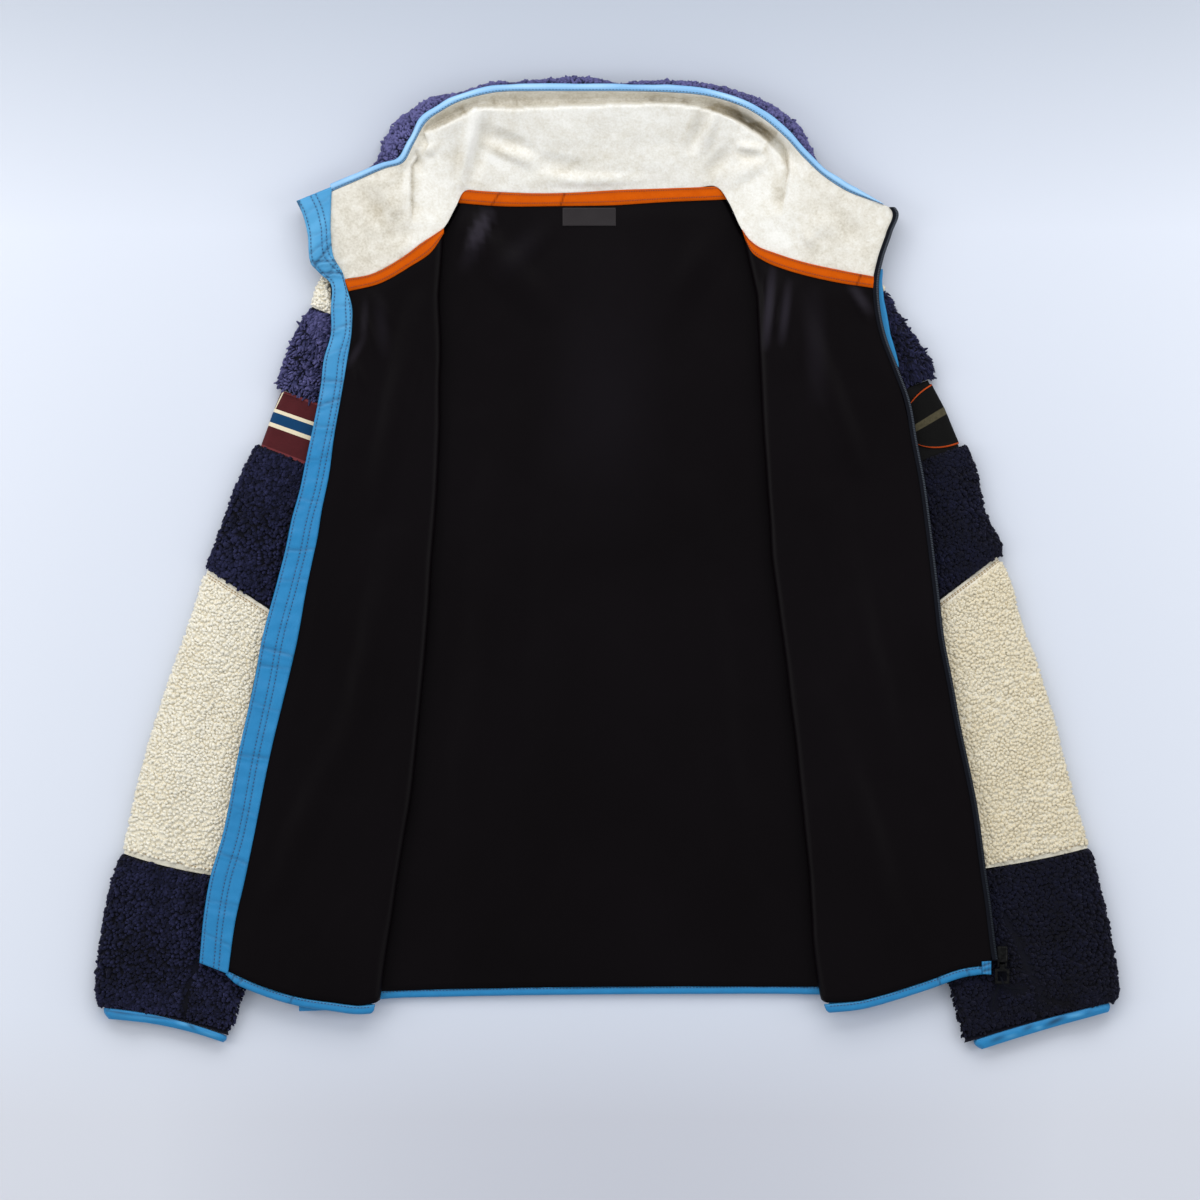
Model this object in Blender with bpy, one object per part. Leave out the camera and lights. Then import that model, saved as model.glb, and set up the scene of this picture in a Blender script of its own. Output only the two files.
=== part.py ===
"""Hooded fleece jacket, laid flat on its back with both fronts folded open.

Sizes are in millimetres in the tables and turned into metres when a mesh is made. X runs to the right, Y runs
towards the hood, Z is up, and the jacket rests on z = 0. The origin is under the middle of its outline.
"""

import math

import bmesh
import bpy
import numpy as np
from mathutils import Vector

# ---------------------------------------------------------------- driving dimensions

MM = 0.001
GAP = 0.3  # between neighbouring pieces
SEAM = 0.4  # between the edges of two pieces that are sewn together
BODY_FLEECE = 5.0  # body fleece under the weight of the layers on it
LINING = 1.2
TRIM = 1.5  # binding, tape and placket cloth
SLEEVE_HEIGHT = 13.3  # flattened sleeve, both walls
SLEEVE_HOLLOW = 2.6  # the slit left between them
SLEEVE_CROWN = 4.0  # how far the pile springs up beside the folded front
CROWN_END = 0.38  # share of the sleeve's width at which that ends
BINDING_WIDTH = 7.5
HOOD_BINDING_WIDTH = 6.5
ZIP_WIDTH = 5.0
TAPE_CROWN, TRIM_CROWN, BINDING_CROWN, UNDER_CROWN = 0.3, 0.4, 0.8, 0.4  # how far each is rounded off
HOOD_BINDING_RISE = (0.4, 1.6, 0.2)  # heights of the hood's binding over the rim, from its inner edge
HOOD_PILE_REACH = 3.0  # the least that the hood's pile stands out beyond its binding
HOOD_PILE_END = 1.0  # and how far it reaches at both ends
HOOD_TIP_SHARE = 0.45  # height of the pile's outermost line as a share of the rim's height
HOOD_FOOT_IN = 2.0  # how far the pile tucks in again at the surface
LEDGE_DROP = 1.0  # how far the fleece lies below the lining under the binding
LABEL_THICK = 0.8

# Heights of the layers where the fronts lie on the back.
BACK_TOP = BODY_FLEECE
BACK_LINING_TOP = BACK_TOP + GAP + LINING
FOLD_BOTTOM = BACK_LINING_TOP + GAP
FLEECE_RADIUS = BODY_FLEECE + GAP / 2
LINING_INNER_RADIUS = FLEECE_RADIUS + GAP
LINING_RADIUS = LINING_INNER_RADIUS + LINING
FOLD_CENTRE = FOLD_BOTTOM + LINING_RADIUS
OVER_FLEECE_TOP = FOLD_CENTRE + FLEECE_RADIUS
OVER_LINING_TOP = FOLD_CENTRE + LINING_RADIUS
TRIM_BOTTOM = OVER_LINING_TOP + GAP
TRIM_TOP = TRIM_BOTTOM + TRIM
HIDDEN_TAPE_BOTTOM = FOLD_CENTRE + 2  # left zip tape and right facing, which lie beside the fleece's edge

# Hood sections from the neck seam to the face edge. seam: point on the neck seam. rim: inner edge of the face
# binding. halo: how far the pile behind the rim reaches. bow: sideways bulge. The z columns are the heights of the
# lining at the seam, half way, on the collar's ridge (at the share ridge_at of the way), in the trough behind it and
# at the rim. tape: width of the neck tape on that section.
HOOD_COLUMNS = (
    "seam_x seam_y rim_x rim_y halo_x halo_y bow seam_z mid_z ridge_at ridge_z trough_z rim_z tape"
)
HOOD_SECTIONS = [
    (-246, 251, -272, 321, -273, 324, 0, 20.1, 20.1, 0.80, 20.1, 20.1, 20.1, 10),
    (-233.5, 254.8, -246, 334, -247, 339, -6.5, 20.1, 20.1, 0.80, 20.1, 20.1, 20.1, 10),
    (-211, 259, -225, 343, -227, 350, -2, 20.1, 21.5, 0.80, 22.0, 22.5, 22.0, 10),
    (-185, 273, -200, 354, -207, 363, 0, 20.1, 23.0, 0.80, 25.0, 26.0, 25.0, 10),
    (-166, 287, -183, 360, -201, 379, 0, 20.1, 23.0, 0.80, 23.5, 23.5, 27.0, 9),
    (-147, 300, -174, 376, -191, 395, 0, 20.1, 24.0, 0.80, 25.5, 26.0, 29.0, 5),
    (-136, 319, -163, 396, -178, 406, 0, 14.5, 23.0, 0.78, 31.0, 28.0, 31.0, 9),
    (-128, 334, -149, 407, -159, 418, 0, 8.5, 21.0, 0.78, 34.0, 27.0, 32.0, 12),
    (-114, 334, -129, 417, -136, 422, 0, 7.5, 20.0, 0.79, 34.0, 26.0, 32.0, 11),
    (-92, 333, -99, 424, -100, 433, 0, 7.5, 19.0, 0.80, 33.0, 25.0, 32.0, 11),
    (-60, 332, -66, 425, -68, 434, 0, 7.5, 20.0, 0.82, 34.0, 25.0, 32.0, 10),
    (-24, 333, -29, 425, -27, 437.4, 0, 7.5, 21.0, 0.82, 35.0, 25.0, 32.0, 10),
    (12, 335, 14, 425, 13, 433, 0, 7.5, 21.0, 0.83, 35.0, 25.0, 32.0, 11),
    (48, 336, 55, 424, 56, 434, 0, 7.5, 20.0, 0.85, 35.0, 25.0, 32.0, 12),
    (79, 337, 88, 421, 89, 431, 0, 7.5, 20.0, 0.85, 34.0, 24.0, 32.0, 13),
    (98, 338, 117, 413, 122, 425, 0, 8.5, 21.0, 0.81, 32.0, 22.0, 32.0, 12),
    (109, 324, 139, 401, 149, 415, 0, 14.5, 23.0, 0.82, 29.0, 20.0, 31.0, 10),
    (121, 299, 160, 383, 173, 396, 0, 20.1, 23.0, 0.83, 25.0, 20.0, 29.0, 8),
    (134, 284, 176, 365, 185, 374, 0, 20.1, 24.5, 0.80, 26.0, 26.0, 27.0, 9),
    (158, 275, 195, 347, 199, 352, 0, 20.1, 23.5, 0.80, 25.0, 25.5, 25.0, 10),
    (187, 266, 215, 334, 218, 338, 0, 20.1, 22.5, 0.80, 23.0, 23.0, 23.0, 10),
    (218, 260, 233, 327, 236, 331, 0, 20.1, 21.0, 0.80, 21.5, 21.5, 21.5, 10),
    (239.5, 256.2, 252, 320, 254, 325, 0, 20.1, 20.1, 0.80, 20.1, 20.1, 20.1, 9),
    (242, 254, 258, 316, 259, 319, 0, 20.1, 20.1, 0.80, 20.1, 20.1, 20.1, 9),
]
HOOD_SHARES = (0.0, 0.2, 0.45, 0.65, 0.75, 0.83, 0.9, 1.0)
BACK_NECK = slice(7, 16)  # the sections along which the neck seam belongs to the back
LEFT_NECK = slice(0, 6)  # and to each front
RIGHT_NECK = slice(17, 24)

# Lines down the body, from the top to the hem: (x, y).
LEFT_SIDE = [
    (-245.5, 250), (-241, 226), (-239, 204), (-236.5, 168), (-233, 140), (-229, 106), (-223.5, 43),
    (-232.5, -33), (-242, -112), (-258, -240), (-277, -395),
]  # fmt: skip
RIGHT_SIDE = [
    (241, 252.5), (235.5, 243), (231.5, 231), (229, 177), (227, 142), (224, 100), (219, 43),
    (222, -24), (228, -105), (241, -240), (255, -386),
]  # fmt: skip
LEFT_FOLD = [
    (-147, 298), (-148, 290), (-149, 147), (-152, 75), (-158, -12), (-165, -105), (-176, -213),
    (-190, -300), (-204, -392),
]  # fmt: skip
RIGHT_FOLD = [
    (121, 297), (134, 240), (136, 204), (141, 104), (148, 3), (163, -112), (174, -213), (181, -285),
    (184, -336), (192, -393),
]  # fmt: skip
PLACKET_COLUMNS = "outer_x outer_y inner_x inner_y"
PLACKET = [
    (-279, 325, -247, 338), (-273, 312, -248, 316), (-269, 296, -248, 296), (-266, 269, -246, 277),
    (-257, 259, -238, 262), (-249, 252, -233, 245), (-248, 228, -229, 230), (-248, 205, -229, 213),
    (-254, 184, -234, 178), (-257, 159, -239, 148), (-263, 127, -245, 114), (-270, 94, -250, 77),
    (-276, 65, -256, 48), (-283, 40, -260, 23), (-289, 11, -265, 0), (-297, -20, -270, -24),
    (-310, -69, -278, -69), (-316, -102, -288, -112), (-331, -171, -302, -170), (-346, -247, -318, -250),
    (-356, -281, -326, -288), (-362, -316, -333, -318), (-366, -359, -340, -366),
]  # fmt: skip
ZIP_OUTER = [
    (262, 316), (257, 297), (249, 273), (245, 253), (247, 237), (255, 206), (263, 176), (273, 146), (280, 107),
    (286, 76), (292, 32), (299, -26), (304, -69), (311, -105), (320, -154), (327, -186), (333, -216), (341, -274),
    (346, -309), (350, -343),
]  # fmt: skip
ZIP_END = (346.5, -357)  # corner of the front below the zip
LEFT_EDGE_ROWS = (5, 6, 7, 8, 9, 11, 13, 15, 16, 18, 19, 21, 22)  # placket rows that the front's edge follows
RIGHT_EDGE_ROWS = (3, 4, 5, 6, 8, 10, 11, 12, 14, 16, 17, 19)  # and of the zip
FACING = slice(3, 7)  # stretch of the zip beside which the blue facing shows
FACING_SWELL = (1.5, 2.7)  # how far it shows at its ends, and how much more in its middle
UNDERLAP = 2.8  # how far the front's edge stays inside the placket's or the zip tape's outer edge

# Upper edges of the hem bindings: (x, y). Those of the fronts run from the open edge or the side to the fold.
BACK_HEM = [(-277, -395), (-240, -390), (-203, -385), (-60, -386), (188, -382), (225, -383), (255, -386)]
LEFT_UNDER_HEM = [(-277, -395), (-264, -394.5), (-250, -394), (-237, -393.5), (-224, -393), (-211, -392.5)]
RIGHT_UNDER_HEM = [
    (255, -386), (246, -387.5), (237, -389), (228, -390.5), (218, -391.5), (208, -392.5), (199, -393.5)
]  # fmt: skip
LEFT_OVER_HEM = [(-340, -367), (-316, -379), (-274, -392), (-247, -395), (-211, -397)]
RIGHT_OVER_HEM = [(341, -361), (320, -364), (288, -375), (254, -386), (228, -393), (199, -396)]

# Sleeve sections. Each stage is one piece of cloth. outer is the side away from the body, inner the side towards
# it; bow is how far the middle of the section hangs towards the cuff.
SLEEVE_COLUMNS = "outer_x outer_y inner_x inner_y height bow"
LEFT_SLEEVE = {
    "shoulder": [
        (-259, 251, -247, 247, 11, 0), (-264, 240, -244.5, 233, 13.3, 0), (-266, 230.7, -242.5, 220.7, 12, 0),
    ],
    "upper": [
        (-266.5, 230.1, -242.3, 220.1, 12, 0), (-274, 218, -241.3, 204, 13.3, 0),
        (-284, 198, -239.3, 181, 13.3, 0), (-292, 175, -237.3, 154, 13.3, 0),
        (-296, 157.3, -235.3, 135.3, 12, 0),
    ],
    "band": [
        (-292.5, 155.4, -234.3, 134.3, 10, 0), (-301, 131, -231, 106, 10, 0), (-309.5, 105.1, -229.5, 73.5, 10, 0),
    ],
    "lower": [
        (-315, 106.7, -229, 72.7, 12, 0), (-327, 83, -225.5, 43, 13.3, 0), (-338, 57, -228, 14, 13.3, 0),
        (-353, 15, -235, -33, 13.3, 0), (-360, -4, -245, -80, 12, 0),
    ],
    "forearm": [
        (-360.3, -4.5, -245.3, -80.5, 12, 0), (-373, -45, -252, -112, 13.3, 0), (-388, -88, -259, -143, 13.3, 1),
        (-401, -126, -266, -173, 13.3, 2), (-412, -161, -274, -204, 13.3, 3), (-424, -205, -282, -239, 13.3, 4),
        (-436, -260.7, -293, -285.7, 12, 6),
    ],
    "cuff": [
        (-436.3, -261.3, -293.1, -286.3, 12, 6), (-446, -289, -299, -308, 13.3, 4),
        (-454, -328, -310, -340, 13.3, 2), (-459.9, -379, -325, -382, 13.3, 0),
        (-455, -398.8, -340, -424.8, 12, -4),
    ],
    "cuff_binding": [
        (-452.5, -400, -342, -425.3, 11, -4), (-451, -405, -343, -428.5, 11, -4), (-448, -410, -345, -431, 9, -4),
    ],
}  # fmt: skip
RIGHT_SLEEVE = {
    "shoulder": [
        (247, 251, 239.5, 247, 8, 0), (248.5, 248, 237, 241, 9, 0), (249.3, 245.2, 234.5, 231.2, 10, 0),
    ],
    "upper": [
        (249.7, 244.8, 234.9, 230.8, 12, 0), (264, 222, 233, 210, 13.3, 0), (282, 196, 231, 177, 13.3, 0),
        (291, 181, 230, 158, 13.3, 0), (292, 166.3, 229, 142.3, 12, 0),
    ],
    "band": [
        (288.5, 164.4, 229.5, 141.9, 10, 0), (303, 138, 227, 107, 10, 0), (317.5, 105.3, 225.7, 72.6, 10, 0),
    ],
    "lower": [
        (323, 106.7, 225, 71.7, 12, 0), (332, 83, 221, 43, 13.3, 0), (340, 46, 224, 14, 13.3, 0),
        (353, 20, 230, -24, 13.3, 0), (351.8, 7.2, 237.8, -79.8, 12, 0),
    ],
    "forearm": [
        (352.2, 6.8, 238.2, -80.2, 12, 0), (363, -18, 243, -106, 13.3, 0), (373, -54, 247, -123, 13.3, 0),
        (386, -88, 253, -148, 13.3, 0), (400, -133, 261, -184, 13.3, 1), (410, -171, 268, -213, 13.3, 2),
        (421, -214, 275, -247, 13.3, 3), (434, -255.7, 283, -279.7, 12, 4),
    ],
    "cuff": [
        (434.1, -256.3, 283.1, -280.3, 12, 4), (445, -297, 291, -308, 13.3, 3), (453, -337, 298, -341, 13.3, 2),
        (459.9, -380, 311, -393, 13.3, -2), (453, -394.8, 321, -428.8, 12, -4),
    ],
    "cuff_binding": [
        (451, -395.9, 323, -428.9, 11, -4), (451, -399.5, 324, -433, 11, -4), (450.5, -403, 326, -437.4, 9, -4),
    ],
}  # fmt: skip

# Soft folds that stand up in the linings: start and end of the crest, height and half width.
FOLD_COLUMNS = "x1 y1 x2 y2 rise half_width"
BACK_FOLDS = [
    (-10, 250, -15, -330, 4.0, 75), (-90, 120, -130, -330, 2.5, 32), (75, 60, 120, -330, 2.5, 30),
    (-122, 300, -60, 230, 2.5, 22), (100, 300, 60, 230, 2.0, 20),
]  # fmt: skip
FRONT_FOLDS = [
    (165, 240, 225, 90, 3.0, 16), (200, 60, 255, -180, 2.5, 22), (190, -120, 260, -330, 2.5, 22),
    (-170, 230, -205, 60, 2.5, 18), (-190, 20, -235, -190, 2.5, 22), (-235, -150, -300, -300, 2.0, 20),
]  # fmt: skip
FOLD_MARGIN, FOLD_FADE = 7.0, 20.0  # folds stay this far from the panel's edges and rise over that much more
OVER_COLUMNS = 11  # columns of the lining where it lies open
NECK_MARGIN = 45.0  # and this much further from the neck tape and the label
HEM_MARGIN_Y = -385.0  # no fold reaches below this line

BADGE_STEPS = (-36, -30, -22, -14, -7.9, -5.2, -2.6, 0, 2.6, 5.2, 7.9, 14, 22, 30, 38, 44)  # way round the sleeve
BADGE_SHARE = 0.80  # the badge's height as a share of the band's
BADGE_LIFT, BADGE_THICK = 0.5, 0.9
BADGE_ROWS = 7
BADGE_END = 2.0  # the oval would close this far beyond its first and last step
LABEL = (-40, 8, 303, 319.5)  # x, x, y, y of the neck label

# The zip's slider and pull.
SLIDER_X, SLIDER_TOP, SLIDER_BOTTOM, SLIDER_HALF_WIDTH = 355.0, -344.2, -358.6, 4.7
SLIDER_LOW, SLIDER_HIGH, SLIDER_BEVEL = 13.9, 20.6, 1.2
PIN_Y, PIN_Z, PIN_RADIUS = -361.4, 16.6, 0.7
EAR_INNER, EAR_THICK, EAR_REACH, EAR_ROOT = 2.6, 1.5, 1.6, 2.0
PIN_SEAT = 0.6  # how deep the pin sits in each ear, as a share of its thickness
EYE_RADIUS, EYE_HOLE, EYE_HALF_WIDTH = 1.9, 1.15, 2.1
PULL_TOP, PULL_BOTTOM, PULL_HALF_WIDTH, PULL_BAR, PULL_THICK = -364.6, -378.0, 6.4, 2.2, 1.8
PULL_BEVEL, PULL_NECK_ROOT = 0.4, 1.0
CUTTER_EXTRA = 3.0  # how far a cutting shape stands out on both sides
PULL_CORD_RADIUS, PULL_CORD_SIDES, PULL_CORD_RINGS = 0.65, 6, 32
PULL_CORD_ROUTE = [
    (346.5, -400, 14.3), (347.5, -394, 14.3), (349.5, -387, 14.3), (351.5, -380.5, 14.35), (352.3, -376, 14.5),
    (352.6, -373, 15.4), (353.2, -371.8, 16.8), (354.2, -373, 18.1), (355.4, -376.5, 18.5), (357.2, -380, 17.8),
    (359.5, -381.6, 16.1), (363, -382.2, 14.7), (368, -382.6, 14.3), (373, -383, 14.3),
]  # fmt: skip

# ---------------------------------------------------------------- colours

COLOURS = {
    "navy_pile": ((0.012, 0.013, 0.030), 0.95),
    "cream_pile": ((0.62, 0.58, 0.48), 0.95),
    "hood_microfleece": ((0.78, 0.76, 0.70), 0.9),
    "black_jersey": ((0.010, 0.008, 0.010), 0.75),
    "blue_trim": ((0.060, 0.27, 0.52), 0.6),
    "orange_tape": ((0.60, 0.12, 0.012), 0.6),
    "striped_band": ((0.10, 0.014, 0.020), 0.6),
    "dark_band": ((0.012, 0.012, 0.014), 0.7),
    "badge_cloth": ((0.020, 0.020, 0.022), 0.6),
    "label_cloth": ((0.045, 0.040, 0.045), 0.5),
    "zip_tape": ((0.013, 0.014, 0.022), 0.6),
    "dark_metal": ((0.02, 0.02, 0.022), 0.35),
}
METALS = ("dark_metal",)


def material(name):
    found = bpy.data.materials.get(name)
    if found:
        return found
    colour, roughness = COLOURS[name]
    made = bpy.data.materials.new(name)
    made.use_nodes = True
    shader = made.node_tree.nodes["Principled BSDF"]
    shader.inputs["Base Color"].default_value = (*colour, 1)
    shader.inputs["Roughness"].default_value = roughness
    shader.inputs["Metallic"].default_value = 1.0 if name in METALS else 0.0
    made.diffuse_color = (*colour, 1)
    return made


# ---------------------------------------------------------------- lines and grids


def rows_of(columns, table):
    """The table's rows as dictionaries."""
    return [dict(zip(columns.split(), row)) for row in table]


def smooth_line(points, count):
    """count points, evenly spaced, on a smooth curve through the given ones."""
    points = np.array(points, float)
    reach = np.concatenate([[0], np.cumsum(np.linalg.norm(np.diff(points, axis=0), axis=1))])
    slopes = np.gradient(points, reach, axis=0)
    at = np.linspace(0, reach[-1], 40 * len(points))
    k = np.clip(np.searchsorted(reach, at, "right") - 1, 0, len(points) - 2)
    span = (reach[k + 1] - reach[k])[:, None]
    t = ((at - reach[k])[:, None]) / span
    fine = (
        (2 * t**3 - 3 * t**2 + 1) * points[k]
        + (t**3 - 2 * t**2 + t) * span * slopes[k]
        + (3 * t**2 - 2 * t**3) * points[k + 1]
        + (t**3 - t**2) * span * slopes[k + 1]
    )
    return even_line(fine, count)


def even_line(points, count):
    """count points, evenly spaced, on straight stretches between the given ones."""
    points = np.array(points, float)
    reach = np.concatenate([[0], np.cumsum(np.linalg.norm(np.diff(points, axis=0), axis=1))])
    at = np.linspace(0, reach[-1], count)
    return np.stack([np.interp(at, reach, points[:, i]) for i in range(points.shape[1])], axis=1)


def patch(start, end, first, last):
    """A grid that fills the space between four lines. start and end are its first and last columns, first and last
    its first and last rows, and all corners meet."""
    rows, cols = len(start), len(first)
    v = np.linspace(0, 1, rows)[:, None, None]
    u = np.linspace(0, 1, cols)[None, :, None]
    corners = (
        (1 - v) * (1 - u) * first[0] + (1 - v) * u * first[-1] + v * (1 - u) * last[0] + v * u * last[-1]
    )
    return (1 - u) * start[:, None] + u * end[:, None] + (1 - v) * first[None] + v * last[None] - corners


def at_height(grid, z):
    """The flat grid with a height at each of its points."""
    z = np.broadcast_to(np.asarray(z, float), grid.shape[:-1])
    return np.concatenate([grid[..., :2], z[..., None]], axis=-1)


def moved_aside(line, distance):
    """The line moved to its right-hand side, as seen when walking along it."""
    line = np.array(line, float)
    ahead = np.gradient(line, axis=0)
    ahead /= np.linalg.norm(ahead, axis=1)[:, None]
    return line + np.stack([ahead[:, 1], -ahead[:, 0]], axis=1) * np.reshape(distance, (-1, 1))


def folds_at(grid, table):
    """How far the folds lift the cloth at each point of the grid."""
    rise = np.zeros(grid.shape[:-1])
    for fold in rows_of(FOLD_COLUMNS, table):
        a, b = np.array((fold["x1"], fold["y1"])), np.array((fold["x2"], fold["y2"]))
        share = np.clip(((grid[..., :2] - a) @ (b - a)) / ((b - a) @ (b - a)), 0, 1)
        away = np.linalg.norm(grid[..., :2] - (a + share[..., None] * (b - a)), axis=-1)
        bump = np.clip(1 - (away / fold["half_width"]) ** 2, 0, 1) ** 2
        rise = np.maximum(rise, fold["rise"] * bump * (0.35 + 0.65 * np.sin(np.pi * share)))
    return rise


def room_for_folds(grid, west, east):
    """1 well inside a panel and 0 near its edges. west and east are its edges, from top to bottom."""
    west, east = np.array(west, float)[::-1], np.array(east, float)[::-1]
    x, y = grid[..., 0], grid[..., 1]
    from_west = x - np.interp(y, west[:, 1], west[:, 0])
    from_east = np.interp(y, east[:, 1], east[:, 0]) - x
    seam, tape = neck_seam()
    from_neck = np.interp(x, seam[:, 0], seam[:, 1] - tape) - y - NECK_MARGIN
    from_hem = y - HEM_MARGIN_Y
    nearest = np.minimum(np.minimum(from_west, from_east), np.minimum(from_neck, from_hem))
    return np.clip((nearest - FOLD_MARGIN) / FOLD_FADE, 0, 1)


def filled(line, count):
    """The line with points added in the middle of its longest stretches until it has this many."""
    line = [np.array(point, float) for point in line]
    while len(line) < count:
        stretches = [np.linalg.norm(b - a) for a, b in zip(line, line[1:])]
        k = int(np.argmax(stretches))
        line.insert(k + 1, (line[k] + line[k + 1]) / 2)
    return np.array(line)


# ---------------------------------------------------------------- solids


def solid(name, points, faces, cloth):
    """A closed mesh in metres with its faces pointing out."""
    mesh = bpy.data.meshes.new(name)
    mesh.from_pydata([tuple(p) for p in np.asarray(points, float) * MM], [], faces)
    shape = bmesh.new()
    shape.from_mesh(mesh)
    bmesh.ops.recalc_face_normals(shape, faces=shape.faces)
    if shape.calc_volume(signed=True) < 0:
        bmesh.ops.reverse_faces(shape, faces=shape.faces)
    shape.to_mesh(mesh)
    shape.free()
    mesh.materials.append(material(cloth))
    mesh.shade_smooth()
    mesh.set_sharp_from_angle(angle=math.radians(40))
    made = bpy.data.objects.new(name, mesh)
    bpy.context.scene.collection.objects.link(made)
    return made


def wall(name, outer, inner, cloth, ring=False):
    """The cloth between two grids of points with the same rows and columns. A ring closes on itself sideways."""
    rows, cols = outer.shape[:2]
    points = np.concatenate([outer.reshape(-1, 3), inner.reshape(-1, 3)])
    far = rows * cols
    across = range(cols) if ring else range(cols - 1)
    faces = []
    for r in range(rows - 1):
        for c in across:
            a, b = r * cols + c, r * cols + (c + 1) % cols
            for triangle in ((a, b, b + cols), (a, b + cols, a + cols)):
                faces.append(triangle)
                faces.append(tuple(far + k for k in triangle[::-1]))
    for r in (0, rows - 1):
        for c in across:
            a, b = r * cols + c, r * cols + (c + 1) % cols
            faces.append((a, far + a, far + b, b))
    if not ring:
        for r in range(rows - 1):
            for c in (0, cols - 1):
                a = r * cols + c
                faces.append((a, a + cols, far + a + cols, far + a))
    return solid(name, points, faces, cloth)


def slab(name, grid, low, high, cloth):
    """A wall whose two faces lie at these heights over one flat grid."""
    return wall(name, at_height(grid, high), at_height(grid, low), cloth)


def strip(name, edge, other_edge, low, high, cloth, crown=0.0):
    """Binding or tape between two edges, a little higher along its middle."""
    edge, other_edge = np.array(edge), np.array(other_edge)
    grid = np.stack([edge, (edge + other_edge) / 2, other_edge], axis=1)
    low, high = np.reshape(low, (-1, 1)), np.reshape(high, (-1, 1))
    return slab(name, grid, low * np.ones((1, 3)), high + np.array([[-crown, 0, -crown]]), cloth)


# ---------------------------------------------------------------- body


def neck_seam():
    """The seam between body and hood, from the left shoulder to the right one, and the tape's width along it."""
    sections = rows_of(HOOD_COLUMNS, HOOD_SECTIONS)
    points = np.array([(s["seam_x"], s["seam_y"]) for s in sections], float)
    return points, np.array([s["tape"] for s in sections], float)


def panel(west, east, top, hem):
    """The flat grid of a panel. Its corners are the ends of the top and hem lines."""
    west, east = np.array(west, float), np.array(east, float)
    west[0], east[0], west[-1], east[-1] = top[0], top[-1], hem[0], hem[-1]
    return patch(west, east, top, hem)


def back():
    seam, tape = neck_seam()
    top = moved_aside(seam, SEAM)
    top[0], top[-1] = LEFT_SIDE[0], RIGHT_SIDE[0]
    edge = filled(BACK_HEM, len(top))
    hem = edge + np.array([0, GAP])
    grid = panel(LEFT_SIDE, RIGHT_SIDE, top, hem)
    slab("back_outer", grid, 0, BACK_TOP, "navy_pile")
    rise = folds_at(grid, BACK_FOLDS) * room_for_folds(grid, LEFT_FOLD, RIGHT_FOLD)
    slab("back_lining", grid, BACK_TOP + GAP + rise, BACK_LINING_TOP + rise, "black_jersey")

    low = BACK_LINING_TOP + GAP
    upper, lower = moved_aside(seam, GAP)[BACK_NECK], moved_aside(seam, tape)[BACK_NECK]
    strip("neck_tape_back", upper, lower, low, low + TRIM, "orange_tape", TAPE_CROWN)
    strip("hem_binding_back", edge, moved_aside(edge, BINDING_WIDTH), 0, BACK_LINING_TOP, "blue_trim", BINDING_CROWN)
    x1, x2, y1, y2 = LABEL
    corners = np.array([[(x1, y2), (x2, y2)], [(x1, y1), (x2, y1)]], float)
    slab("neck_label", corners, low, low + LABEL_THICK, "label_cloth")


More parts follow.
